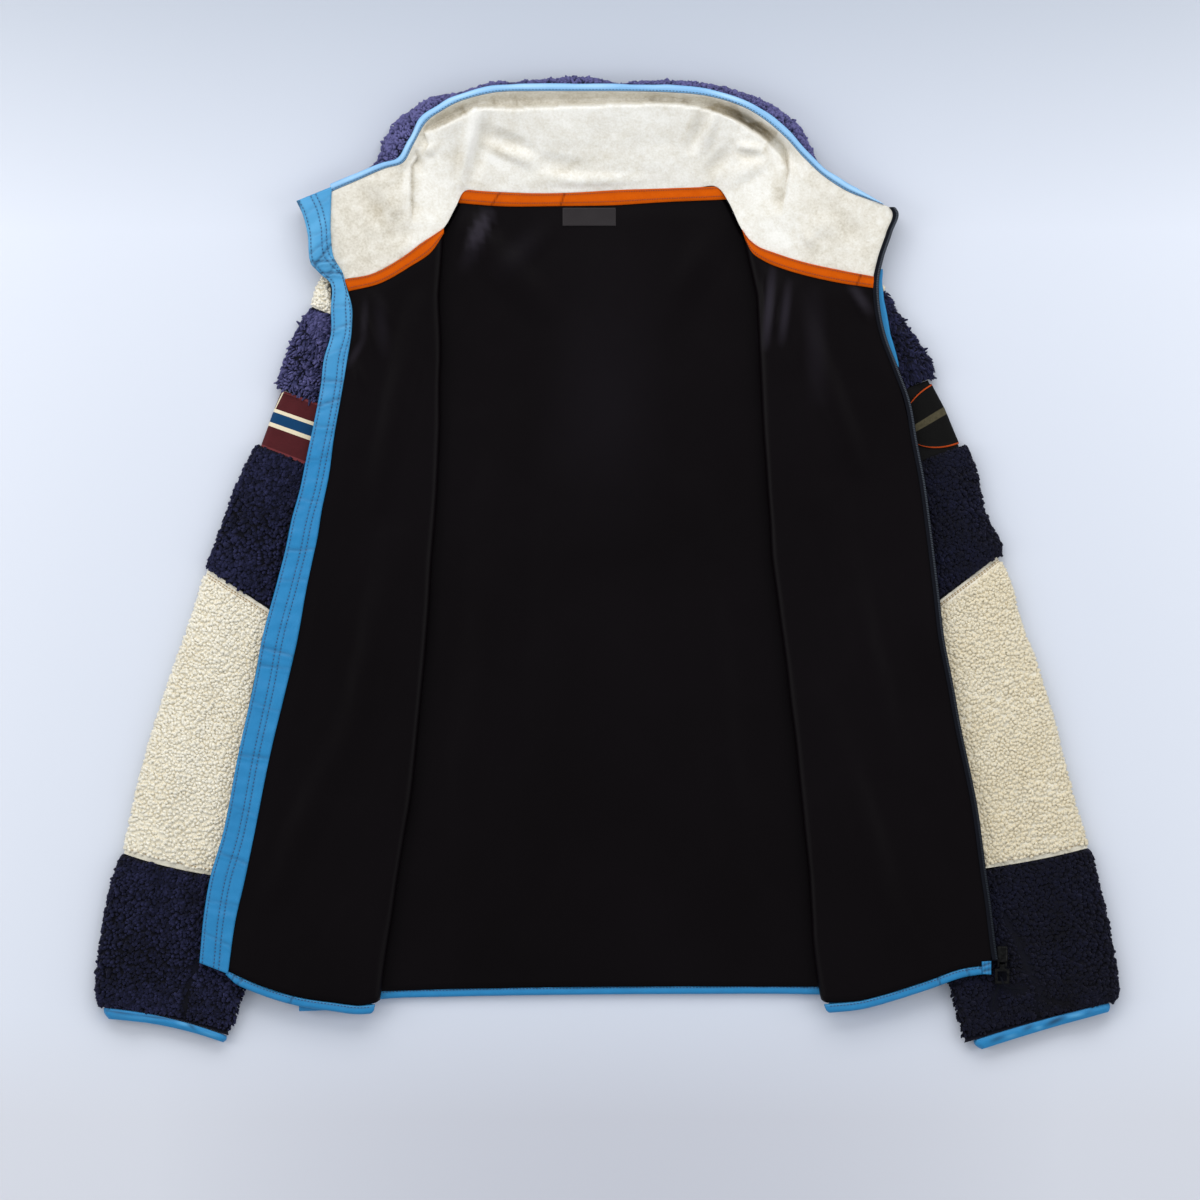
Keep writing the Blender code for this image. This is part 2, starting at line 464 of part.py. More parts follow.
def front(side):
    """One front: its fleece and lining run from the side seam over the back, turn over at the fold and lie open."""
    left = side == "left"
    sign = -1 if left else 1
    seam, tape = neck_seam()
    neck = LEFT_NECK if left else RIGHT_NECK
    placket = rows_of(PLACKET_COLUMNS, PLACKET)
    if left:
        edge = [(placket[k]["outer_x"] + UNDERLAP, placket[k]["outer_y"]) for k in LEFT_EDGE_ROWS]
        trim_edge = [(row["inner_x"], row["inner_y"]) for row in placket]
    else:
        edge = [(ZIP_OUTER[k][0] - UNDERLAP, ZIP_OUTER[k][1]) for k in RIGHT_EDGE_ROWS] + [ZIP_END]
        trim_edge = [(x - ZIP_WIDTH, y) for x, y in ZIP_OUTER]
    side_line = LEFT_SIDE if left else RIGHT_SIDE
    fold_line = LEFT_FOLD if left else RIGHT_FOLD
    under_edge = LEFT_UNDER_HEM if left else RIGHT_UNDER_HEM
    over_edge = LEFT_OVER_HEM if left else RIGHT_OVER_HEM

    rows = len(edge)
    fold = smooth_line(fold_line, rows) + np.array([sign * LINING_RADIUS, 0])
    top = moved_aside(seam, SEAM)[neck]
    top = top if left else top[::-1]
    for _ in range(4):
        share = (np.interp(-top[-1, 1], -fold[:, 1], fold[:, 0]) - top[-2, 0]) / (top[-1, 0] - top[-2, 0])
        top[-1] = top[-2] + share * (top[-1] - top[-2])
    under_top = filled([side_line[0], *top[2:]], len(top))
    under_hem = np.array(under_edge, float) + np.array([0, GAP])
    over_hem = np.array([edge[-1]] + over_edge, float) + np.array([0, GAP])
    under_hem[-1] = over_hem[-1] = fold[-1]

    under = panel(filled(side_line, rows), fold, under_top, under_hem)
    over = panel(edge, fold, top, over_hem)[:, ::-1]
    fine = panel(edge, fold, filled(top, OVER_COLUMNS), filled(over_hem, OVER_COLUMNS))[:, ::-1]
    edges = (trim_edge, fold_line) if left else (fold_line, trim_edge)
    rise = folds_at(fine, FRONT_FOLDS) * room_for_folds(fine, *edges)
    turns = np.radians((-60, -30, 0, 30, 60))
    for name, cloth, radii in (
        ("lining", "black_jersey", (LINING_RADIUS, LINING_INNER_RADIUS)),
        ("outer", "navy_pile", (FLEECE_RADIUS, GAP / 2)),
    ):
        faces = []
        for r in radii:
            bend_x = under[:, -1:, 0] - sign * r * np.cos(turns)
            bend_y = under[:, -1:, 1] + 0 * turns
            bend = np.stack([bend_x, bend_y, 0 * bend_x + FOLD_CENTRE + r * np.sin(turns)], axis=-1)
            if name == "lining":
                flat = at_height(fine, FOLD_CENTRE + r + rise)
            else:
                flat = at_height(over, FOLD_CENTRE + r)
            faces.append(np.concatenate([at_height(under, FOLD_CENTRE - r), bend, flat], axis=1))
        wall(f"{side}_front_{name}", faces[0], faces[1], cloth)

    inward = slice(1, None) if left else slice(0, -1)
    upper, lower = moved_aside(seam, GAP)[neck][inward], moved_aside(seam, tape)[neck][inward]
    strip(f"neck_tape_{side}", upper, lower, TRIM_BOTTOM, TRIM_TOP, "orange_tape", TAPE_CROWN)
    below = -sign * BINDING_WIDTH
    strip(
        f"hem_binding_{side}_over", over_edge, moved_aside(over_edge, below),
        FOLD_CENTRE + GAP / 2, TRIM_BOTTOM, "blue_trim", BINDING_CROWN,
    )  # fmt: skip
    strip(
        f"hem_binding_{side}_under", under_edge, moved_aside(under_edge, below),
        FOLD_BOTTOM + GAP, FOLD_CENTRE - GAP / 2, "blue_trim", UNDER_CROWN,
    )  # fmt: skip


def placket():
    """The inner wind flap along the left front's edge, with the left zip tape beneath it."""
    rows = rows_of(PLACKET_COLUMNS, PLACKET)
    outer = np.array([(row["outer_x"], row["outer_y"]) for row in rows], float)
    inner = np.array([(row["inner_x"], row["inner_y"]) for row in rows], float)
    grid = np.stack([outer + (inner - outer) * share for share in (0, 0.5, 1)], axis=1)
    slab("placket", grid, TRIM_BOTTOM, TRIM_TOP, "blue_trim")
    edge = outer[list(LEFT_EDGE_ROWS)]
    tape = [edge + np.array([aside, 0]) for aside in (UNDERLAP - SEAM, SEAM)]
    strip("left_zip_tape", *tape, HIDDEN_TAPE_BOTTOM, HIDDEN_TAPE_BOTTOM + TRIM, "zip_tape")


def zip_side():
    """The right zip tape and the strip of facing that shows beside it."""
    outer = np.array(ZIP_OUTER, float)
    inner = outer - np.array([ZIP_WIDTH, 0])
    strip("right_zip_tape", inner, outer, TRIM_BOTTOM, TRIM_TOP, "zip_tape", TRIM_CROWN)
    edge = filled(ZIP_OUTER[FACING], 8)
    swell = FACING_SWELL[0] + FACING_SWELL[1] * np.sin(np.linspace(0, math.pi, len(edge)))
    from_zip = edge - np.array([UNDERLAP - SEAM, 0])
    to_air = edge + np.stack([swell, 0 * swell], axis=1)
    strip("right_zip_facing", from_zip, to_air, HIDDEN_TAPE_BOTTOM, HIDDEN_TAPE_BOTTOM + TRIM, "blue_trim")


# ---------------------------------------------------------------- hood


def hood_line(section):
    """The lining's points along one section, from the neck seam to the rim."""
    shares = np.array(HOOD_SHARES)
    start = np.array((section["seam_x"], section["seam_y"]), float)
    end = np.array((section["rim_x"], section["rim_y"]), float)
    flat = start + shares[:, None] * (end - start)
    flat[:, 0] += section["bow"] * np.sin(np.pi * shares)
    ridge = section["ridge_at"]
    marks = (0, 0.45, ridge, (ridge + 1) / 2, 1)
    heights = [section[k] for k in ("seam_z", "mid_z", "ridge_z", "trough_z", "rim_z")]
    return np.concatenate([flat, np.interp(shares, marks, heights)[:, None]], axis=1)


def hood():
    sections = rows_of(HOOD_COLUMNS, HOOD_SECTIONS)
    cloth = np.stack([hood_line(s) for s in sections], axis=1)
    lining = cloth.copy()
    lining[0, :, :2] = moved_aside(lining[0, :, :2], -GAP)
    wall("hood_lining", lining, lining - np.array([0, 0, LINING]), "hood_microfleece")

    # The outer fleece fills the space under the lining, where the hood's hidden folds lie.
    rim = cloth[-1]
    halo = np.array([(s["halo_x"], s["halo_y"]) for s in sections])
    reach = np.linalg.norm(halo - rim[:, :2], axis=1)[:, None]
    outward = (halo - rim[:, :2]) / reach
    bound = np.array([[HOOD_BINDING_WIDTH]] * len(sections))
    bound[0] = bound[-1] = HOOD_PILE_END
    reach = np.maximum(reach, bound + HOOD_PILE_REACH)
    under_cloth = cloth - np.array([0, 0, LINING + GAP])
    ledge = np.concatenate([rim[:, :2] + outward * bound, rim[:, 2:] - LINING - GAP - LEDGE_DROP], axis=1)
    tip = np.concatenate([rim[:, :2] + outward * reach, HOOD_TIP_SHARE * rim[:, 2:]], axis=1)
    foot = np.concatenate([rim[:, :2] + outward * (reach - HOOD_FOOT_IN), 0 * rim[:, 2:]], axis=1)
    top = np.concatenate([under_cloth, ledge[None], tip[None]])
    bottom = at_height(np.concatenate([under_cloth, ledge[None], foot[None]]), 0)
    wall("hood_outer", top, bottom, "navy_pile")

    inner = slice(1, -1)
    across = [rim[inner, :2] + outward[inner] * d for d in (GAP, HOOD_BINDING_WIDTH / 2, HOOD_BINDING_WIDTH)]
    grid = np.stack(across, axis=1)
    heights = [rim[inner, 2] + rise for rise in HOOD_BINDING_RISE]
    low = np.repeat(rim[inner, 2:] - LINING, 3, axis=1)
    wall("hood_binding", at_height(grid, np.stack(heights, axis=1)), at_height(grid, low), "blue_trim")


# ---------------------------------------------------------------- sleeves

TOP_SHARES = (0.1, 0.19, 0.28, CROWN_END)
BOTTOM_SHARES = (0.5,)
EDGE_SHARE = 0.45  # the rounded edge of a narrow section takes up this share of its width
CROWN_LEAST_WIDTH = 40.0  # narrower sections lie under the front and have no crown


def section_ring(row, crown=True):
    """Outer and inner outline of a flattened sleeve at one section, each a ring of points with the same count."""
    outer = np.array((row["outer_x"], row["outer_y"]), float)
    inner = np.array((row["inner_x"], row["inner_y"]), float)
    width = np.linalg.norm(inner - outer)
    across = (inner - outer) / width
    along = np.array((-across[1], across[0]))
    along = along if along[1] < 0 else -along
    centre, half = SLEEVE_HEIGHT / 2, row["height"] / 2
    rings = []
    for r in (half, SLEEVE_HOLLOW / 2):
        arc = min(r, EDGE_SHARE * width - (half - r))
        near, far = min(half, EDGE_SHARE * width), width - min(half, EDGE_SHARE * width)
        ring = []
        for turn in np.radians((0, 45, 90)):
            ring.append((near - arc * math.cos(turn), centre + r * math.sin(turn)))
        for share in TOP_SHARES:
            swell = SLEEVE_CROWN * math.sin(math.pi * share / CROWN_END) ** 2 if share < CROWN_END else 0
            swell *= crown and r == half and width > CROWN_LEAST_WIDTH
            ring.append((near + (far - near) * share, centre + r + swell))
        for turn in np.radians((90, 45, 0, -45, -90)):
            ring.append((far + arc * math.cos(turn), centre + r * math.sin(turn)))
        for share in BOTTOM_SHARES:
            ring.append((near + (far - near) * share, centre - r))
        for turn in np.radians((90, 45)):
            ring.append((near - arc * math.cos(turn), centre - r * math.sin(turn)))
        ring = np.array(ring)
        u = ring[:, 0] / width
        flat = outer + ring[:, :1] * across + (row["bow"] * 4 * u * (1 - u))[:, None] * along
        rings.append(np.concatenate([flat, ring[:, 1:]], axis=1))
    return rings


def sleeve(side, stages, cloths):
    for stage, table in stages.items():
        rows = rows_of(SLEEVE_COLUMNS, table)
        rings = [section_ring(row, stage not in ("band", "cuff_binding")) for row in rows]
        outer = np.stack([r[0] for r in rings])
        inner = np.stack([r[1] for r in rings])
        wall(f"{side}_sleeve_{stage}", outer, inner, cloths[stage], ring=True)


def badge():
    """The oval badge, wrapped round the outer edge of the right band."""
    rows = rows_of(SLEEVE_COLUMNS, RIGHT_SLEEVE["band"])
    radius = rows[0]["height"] / 2
    half_round = radius * math.pi / 2
    ends = np.array([[row["outer_x"], row["outer_y"], row["inner_x"], row["inner_y"]] for row in rows])
    middle, reach = (BADGE_STEPS[0] + BADGE_STEPS[-1]) / 2, (BADGE_STEPS[-1] - BADGE_STEPS[0]) / 2
    reach += BADGE_END
    faces = []
    for r in (radius + BADGE_LIFT, radius + BADGE_LIFT + BADGE_THICK):
        face = []
        for at in BADGE_STEPS:
            turn = np.clip(at, -half_round, half_round) / radius
            beyond = max(abs(at) - half_round, 0)
            height = BADGE_SHARE * math.sqrt(1 - ((at - middle) / reach) ** 2)
            for v in np.linspace(-height, height, BADGE_ROWS):
                row = np.array([np.interp(0.5 + 0.5 * v, (0, 0.5, 1), column) for column in ends.T])
                across = (row[2:] - row[:2]) / np.linalg.norm(row[2:] - row[:2])
                flat = row[:2] + across * (radius - r * math.cos(turn) + beyond)
                face.append((*flat, SLEEVE_HEIGHT / 2 + r * math.sin(turn)))
        faces.append(np.array(face).reshape(len(BADGE_STEPS), -1, 3))
    wall("right_sleeve_badge", faces[1], faces[0], "badge_cloth")


# ---------------------------------------------------------------- zip slider and pull


def block(name, low, high, bevel=0.0):
    """A box from its lowest to its highest corner, in millimetres."""
    shape = bmesh.new()
    bmesh.ops.create_cube(shape, size=1)
    size, middle = Vector(high) - Vector(low), (Vector(high) + Vector(low)) / 2
    for v in shape.verts:
        v.co = Vector([(v.co[i] * size[i] + middle[i]) * MM for i in range(3)])
    if bevel:
        bmesh.ops.bevel(
            shape, geom=shape.edges[:], offset=bevel * MM, segments=2, profile=0.6, affect="EDGES", clamp_overlap=True
        )
    return placed(name, shape)


def rod(name, x1, x2, y, z, radius):
    """A round rod along X."""
    shape = bmesh.new()
    sides, turned = 16, []
    for x in (x1, x2):
        turns = [2 * math.pi * k / sides for k in range(sides)]
        points = [Vector((x, y + radius * math.cos(t), z + radius * math.sin(t))) * MM for t in turns]
        turned.append([shape.verts.new(p) for p in points])
    for k in range(sides):
        n = (k + 1) % sides
        shape.faces.new((turned[0][k], turned[0][n], turned[1][n], turned[1][k]))
    shape.faces.new(turned[0])
    shape.faces.new(turned[1][::-1])
    bmesh.ops.recalc_face_normals(shape, faces=shape.faces)
    return placed(name, shape)


def placed(name, shape):
    mesh = bpy.data.meshes.new(name)
    bmesh.ops.recalc_face_normals(shape, faces=shape.faces)
    shape.to_mesh(mesh)
    shape.free()
    mesh.materials.append(material("dark_metal"))
    made = bpy.data.objects.new(name, mesh)
    bpy.context.scene.collection.objects.link(made)
    return made


def combine(target, helper, operation):
    """Adds or cuts a helper shape, which stays hidden."""
    step = target.modifiers.new(helper.name, "BOOLEAN")
    step.object, step.operation, step.solver = helper, operation, "EXACT"
    helper.hide_render = True
    helper.display_type = "WIRE"


def slider_and_pull():
    x = SLIDER_X
    body = block(
        "zip_slider",
        (x - SLIDER_HALF_WIDTH, SLIDER_BOTTOM, SLIDER_LOW),
        (x + SLIDER_HALF_WIDTH, SLIDER_TOP, SLIDER_HIGH),
        SLIDER_BEVEL,
    )
    for k, sign in enumerate((-1, 1)):
        near, far = sorted((x + sign * EAR_INNER, x + sign * (EAR_INNER + EAR_THICK)))
        ear = block(
            f"ear_{k}", (near, PIN_Y - EAR_REACH, PIN_Z - EAR_REACH), (far, SLIDER_BOTTOM + EAR_ROOT, PIN_Z + EAR_REACH)
        )
        combine(body, ear, "UNION")
    pin_end = EAR_INNER + PIN_SEAT * EAR_THICK
    combine(body, rod("pin", x - pin_end, x + pin_end, PIN_Y, PIN_Z, PIN_RADIUS), "UNION")

    pull = block(
        "zip_pull",
        (x - PULL_HALF_WIDTH, PULL_BOTTOM, PIN_Z - PULL_THICK / 2),
        (x + PULL_HALF_WIDTH, PULL_TOP, PIN_Z + PULL_THICK / 2),
        PULL_BEVEL,
    )
    window = block(
        "pull_window",
        (x - PULL_HALF_WIDTH + PULL_BAR, PULL_BOTTOM + PULL_BAR, PIN_Z - CUTTER_EXTRA),
        (x + PULL_HALF_WIDTH - PULL_BAR, PULL_TOP - PULL_BAR, PIN_Z + CUTTER_EXTRA),
    )
    combine(pull, window, "DIFFERENCE")
    neck = block(
        "pull_neck",
        (x - EYE_HALF_WIDTH, PULL_TOP - PULL_NECK_ROOT, PIN_Z - PULL_THICK / 2),
        (x + EYE_HALF_WIDTH, PIN_Y, PIN_Z + PULL_THICK / 2),
    )
    combine(pull, neck, "UNION")
    combine(pull, rod("pull_eye", x - EYE_HALF_WIDTH, x + EYE_HALF_WIDTH, PIN_Y, PIN_Z, EYE_RADIUS), "UNION")
    hole_end = EYE_HALF_WIDTH + CUTTER_EXTRA
    combine(pull, rod("eye_hole", x - hole_end, x + hole_end, PIN_Y, PIN_Z, EYE_HOLE), "DIFFERENCE")

    route = smooth_line(PULL_CORD_ROUTE, PULL_CORD_RINGS)
    ahead = np.gradient(route, axis=0)
    ahead /= np.linalg.norm(ahead, axis=1)[:, None]
    side, rings = np.array((0.0, 0.0, 1.0)), []
    for point, direction in zip(route, ahead):
        side = side - direction * (side @ direction)
        side /= np.linalg.norm(side)
        other = np.cross(direction, side)
        turns = np.radians(np.arange(0, 360, 360 / PULL_CORD_SIDES))[:, None]
        rings.append(point + PULL_CORD_RADIUS * (np.cos(turns) * side + np.sin(turns) * other))
    faces = []
    for r in range(len(rings) - 1):
        for c in range(PULL_CORD_SIDES):
            a, b = r * PULL_CORD_SIDES + c, r * PULL_CORD_SIDES + (c + 1) % PULL_CORD_SIDES
            faces.append((a, b, b + PULL_CORD_SIDES, a + PULL_CORD_SIDES))
    count = len(rings) * PULL_CORD_SIDES
    faces += [tuple(range(PULL_CORD_SIDES)), tuple(range(count - PULL_CORD_SIDES, count))]
    solid("pull_cord", np.concatenate(rings), faces, "zip_tape")


# ---------------------------------------------------------------- the jacket


def main():
    for thing in list(bpy.data.objects):
        bpy.data.objects.remove(thing, do_unlink=True)
    back()
    front("left")
    front("right")
    placket()
    zip_side()
    hood()
    cloths = dict.fromkeys(("upper", "lower", "cuff"), "navy_pile")
    cloths.update(shoulder="cream_pile", forearm="cream_pile", cuff_binding="blue_trim")
    sleeve("left", LEFT_SLEEVE, {**cloths, "band": "striped_band"})
    sleeve("right", RIGHT_SLEEVE, {**cloths, "band": "dark_band"})
    badge()
    slider_and_pull()


main()
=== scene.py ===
"""The looks of a hooded fleece jacket that lies open on its back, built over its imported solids.

Tables and lengths are in millimetres, and each mesh is made in metres. X is to the right, Y towards the hood and Z
up from the surface that the jacket lies on.
"""

import math

import bpy
import numpy as np
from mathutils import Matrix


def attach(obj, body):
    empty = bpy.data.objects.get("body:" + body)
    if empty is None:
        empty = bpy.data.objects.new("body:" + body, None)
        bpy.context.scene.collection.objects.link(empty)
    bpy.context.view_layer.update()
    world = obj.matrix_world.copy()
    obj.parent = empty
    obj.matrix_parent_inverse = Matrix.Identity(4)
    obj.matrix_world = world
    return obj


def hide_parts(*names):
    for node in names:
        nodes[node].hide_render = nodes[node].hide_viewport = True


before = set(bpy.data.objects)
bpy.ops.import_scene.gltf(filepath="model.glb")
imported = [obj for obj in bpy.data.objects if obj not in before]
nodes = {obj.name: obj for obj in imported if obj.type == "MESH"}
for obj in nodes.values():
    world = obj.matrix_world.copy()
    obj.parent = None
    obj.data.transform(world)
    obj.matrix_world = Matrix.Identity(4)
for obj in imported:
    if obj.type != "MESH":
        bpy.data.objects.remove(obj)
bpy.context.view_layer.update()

MM = 0.001

# ---------------------------------------------------------------- sizes shared with the solids

GAP = 0.3
LINING = 1.2
TRIM = 1.5
SLEEVE_HEIGHT, SLEEVE_CROWN, CROWN_END = 13.3, 4.0, 0.38
BACK_TOP = 5.0
BACK_LINING_TOP = 6.5
FOLD_CENTRE = 13.45
LINING_RADIUS, LINING_INNER_RADIUS, FLEECE_RADIUS = 6.65, 5.45, 5.15
OVER_LINING_TOP = FOLD_CENTRE + LINING_RADIUS
TRIM_BOTTOM = OVER_LINING_TOP + GAP
TRIM_TOP = TRIM_BOTTOM + TRIM
HOOD_BINDING_WIDTH, BINDING_WIDTH, ZIP_WIDTH, UNDERLAP = 6.5, 8.0, 5.4, 2.8

HOOD_COLUMNS = "seam_x seam_y rim_x rim_y halo_x halo_y bow seam_z mid_z ridge_at ridge_z trough_z rim_z tape"
HOOD_SECTIONS = [
    (-246, 251, -272, 321, -273, 324, 0, 20.1, 20.1, 0.80, 20.1, 20.1, 20.1, 10),
    (-233.5, 254.8, -246, 334, -247, 339, -6.5, 20.1, 20.1, 0.80, 20.1, 20.1, 20.1, 10),
    (-211, 259, -225, 343, -227, 350, -2, 20.1, 21.5, 0.80, 22.0, 22.5, 22.0, 10),
    (-185, 273, -200, 354, -207, 363, 0, 20.1, 23.0, 0.80, 25.0, 26.0, 25.0, 10),
    (-166, 287, -183, 360, -201, 379, 0, 20.1, 23.0, 0.80, 23.5, 23.5, 27.0, 9),
    (-147, 300, -174, 376, -191, 395, 0, 20.1, 24.0, 0.80, 25.5, 26.0, 29.0, 5),
    (-136, 319, -163, 396, -178, 406, 0, 14.5, 23.0, 0.78, 31.0, 28.0, 31.0, 9),
    (-128, 334, -149, 407, -159, 418, 0, 8.5, 21.0, 0.78, 34.0, 27.0, 32.0, 12),
    (-114, 334, -129, 417, -136, 422, 0, 7.5, 20.0, 0.79, 34.0, 26.0, 32.0, 11),
    (-92, 333, -99, 424, -100, 433, 0, 7.5, 19.0, 0.80, 33.0, 25.0, 32.0, 11),
    (-60, 332, -66, 425, -68, 434, 0, 7.5, 20.0, 0.82, 34.0, 25.0, 32.0, 10),
    (-24, 333, -29, 425, -27, 437.4, 0, 7.5, 21.0, 0.82, 35.0, 25.0, 32.0, 10),
    (12, 335, 14, 425, 13, 433, 0, 7.5, 21.0, 0.83, 35.0, 25.0, 32.0, 11),
    (48, 336, 55, 424, 56, 434, 0, 7.5, 20.0, 0.85, 35.0, 25.0, 32.0, 12),
    (79, 337, 88, 421, 89, 431, 0, 7.5, 20.0, 0.85, 34.0, 24.0, 32.0, 13),
    (98, 338, 117, 413, 122, 425, 0, 8.5, 21.0, 0.81, 32.0, 22.0, 32.0, 12),
    (109, 324, 139, 401, 149, 415, 0, 14.5, 23.0, 0.82, 29.0, 20.0, 31.0, 10),
    (121, 299, 160, 383, 173, 396, 0, 20.1, 23.0, 0.83, 25.0, 20.0, 29.0, 8),
    (134, 284, 176, 365, 185, 374, 0, 20.1, 24.5, 0.80, 26.0, 26.0, 27.0, 9),
    (158, 275, 195, 347, 199, 352, 0, 20.1, 23.5, 0.80, 25.0, 25.5, 25.0, 10),
    (187, 266, 215, 334, 218, 338, 0, 20.1, 22.5, 0.80, 23.0, 23.0, 23.0, 10),
    (218, 260, 233, 327, 236, 331, 0, 20.1, 21.0, 0.80, 21.5, 21.5, 21.5, 10),
    (239.5, 256.2, 252, 320, 254, 325, 0, 20.1, 20.1, 0.80, 20.1, 20.1, 20.1, 9),
    (242, 254, 258, 316, 259, 319, 0, 20.1, 20.1, 0.80, 20.1, 20.1, 20.1, 9),
]
LEFT_NECK, RIGHT_NECK = slice(0, 6), slice(17, 24)  # the sections that the neck of each front runs along

LEFT_SIDE = [
    (-245.5, 250), (-241, 226), (-239, 204), (-236.5, 168), (-233, 140), (-229, 106), (-223.5, 43),
    (-232.5, -33), (-242, -112), (-258, -240), (-277, -395),
]  # fmt: skip
RIGHT_SIDE = [
    (241, 252.5), (235.5, 243), (231.5, 231), (229, 177), (227, 142), (224, 100), (219, 43),
    (222, -24), (228, -105), (241, -240), (255, -386),
]  # fmt: skip
LEFT_FOLD = [
    (-147, 298), (-148, 290), (-149, 147), (-152, 75), (-158, -12), (-165, -105), (-176, -213),
    (-190, -300), (-204, -395.5),
]  # fmt: skip
RIGHT_FOLD = [
    (121, 297), (134, 240), (136, 204), (141, 104), (148, 3), (163, -112), (174, -213), (181, -285),
    (184, -336), (192, -395),
]  # fmt: skip
PLACKET = [
    (-279, 325, -247, 338), (-273, 312, -248, 316), (-269, 296, -248, 296), (-266, 269, -246, 277),
    (-257, 259, -238, 262), (-249, 252, -233, 245), (-248, 228, -229, 230), (-248, 205, -229, 213),
    (-254, 184, -234, 178), (-257, 159, -239, 148), (-263, 127, -245, 114), (-270, 94, -250, 77),
    (-276, 65, -256, 48), (-283, 40, -260, 23), (-289, 11, -265, 0), (-297, -20, -270, -24),
    (-310, -69, -278, -69), (-316, -102, -288, -112), (-331, -171, -302, -170), (-346, -247, -318, -250),
    (-356, -281, -326, -288), (-362, -316, -333, -318), (-366, -359, -340.4, -369),
]  # fmt: skip
ZIP_OUTER = [
    (262, 316), (257, 297), (249, 273), (245, 253), (245.3, 237), (250.8, 206), (262, 176), (273, 146), (280, 107),
    (286, 76), (292, 32), (299, -26), (304, -69), (311, -105), (320, -154), (327, -186), (333, -216), (341, -274),
    (346, -309), (350, -343),
]  # fmt: skip
ZIP_END = (346.5, -357)
LEFT_EDGE_ROWS = (5, 6, 7, 8, 9, 11, 13, 15, 16, 18, 19, 21, 22)
RIGHT_EDGE_ROWS = (3, 4, 5, 6, 8, 10, 11, 12, 14, 16, 17, 19)
FACING = slice(3, 7)

BACK_HEM = [
    (-277, -395), (-240, -390), (-203, -385.5), (-144, -383.5), (-43, -381.8), (70, -381), (188, -381.5), (225, -383),
    (255, -386),
]  # fmt: skip
LEFT_UNDER_HEM = [(-277, -395), (-264, -394.5), (-250, -394), (-237, -393.5), (-224, -393), (-211, -392.5)]
RIGHT_UNDER_HEM = [
    (255, -386), (246, -387.5), (237, -389), (228, -390.5), (218, -391.5), (208, -392.5), (199, -393.5)
]  # fmt: skip
LEFT_OVER_HEM = [(-341, -366), (-316, -377.5), (-274, -390.5), (-247, -394.5), (-222, -397.5), (-208.5, -396.5)]
RIGHT_OVER_HEM = [(341, -361), (320, -364), (288, -375), (254, -386), (228, -393), (195, -396.5)]

# Rows down each stage: X and Y of its outer and of its inner edge, its height, and how far it bows between them.
LEFT_SLEEVE = {
    "shoulder": [
        (-256.5, 257.5, -248, 254, 10, 0), (-262, 244, -244.5, 233, 13.3, 0), (-266, 230.7, -242.5, 220.7, 12, 0),
    ],
    "upper": [
        (-266.5, 230.1, -242.3, 220.1, 12, 0), (-274, 218, -241.3, 204, 13.3, 0),
        (-284, 198, -239.3, 181, 13.3, 0), (-292, 175, -237.3, 154, 13.3, 0),
        (-296, 157.3, -235.3, 135.3, 12, 0),
    ],
    "band": [
        (-292.5, 155.4, -234.3, 134.3, 10, 0), (-302, 131, -231, 106, 10, 0), (-311.5, 104.4, -229.5, 72.2, 10, 0),
    ],
    "lower": [
        (-315, 106.7, -229, 72.7, 12, 0), (-327, 83, -225.5, 43, 13.3, 0), (-338, 57, -228, 14, 13.3, 0),
        (-353, 15, -235, -33, 13.3, 0), (-360, -4, -245, -80, 12, 0),
    ],
    "forearm": [
        (-360.3, -4.5, -245.3, -80.5, 12, 0), (-373, -45, -252, -112, 13.3, 0), (-388, -88, -259, -143, 13.3, 1),
        (-401, -126, -266, -173, 13.3, 2), (-412, -161, -274, -204, 13.3, 3), (-424, -205, -282, -239, 13.3, 4),
        (-436, -260.7, -293, -285.7, 12, 6),
    ],
    "cuff": [
        (-436.3, -261.3, -293.1, -286.3, 12, 6), (-446, -289, -299, -308, 13.3, 4),
        (-454, -328, -310, -340, 13.3, 2), (-459.9, -379, -325, -382, 13.3, 0),
        (-455, -398.8, -340, -424.8, 12, -4),
    ],
    "cuff_binding": [
        (-452.5, -400, -342, -425.3, 11, -4), (-451, -405, -343, -428.5, 11, -4), (-448, -410, -345, -431, 9, -4),
    ],
}  # fmt: skip
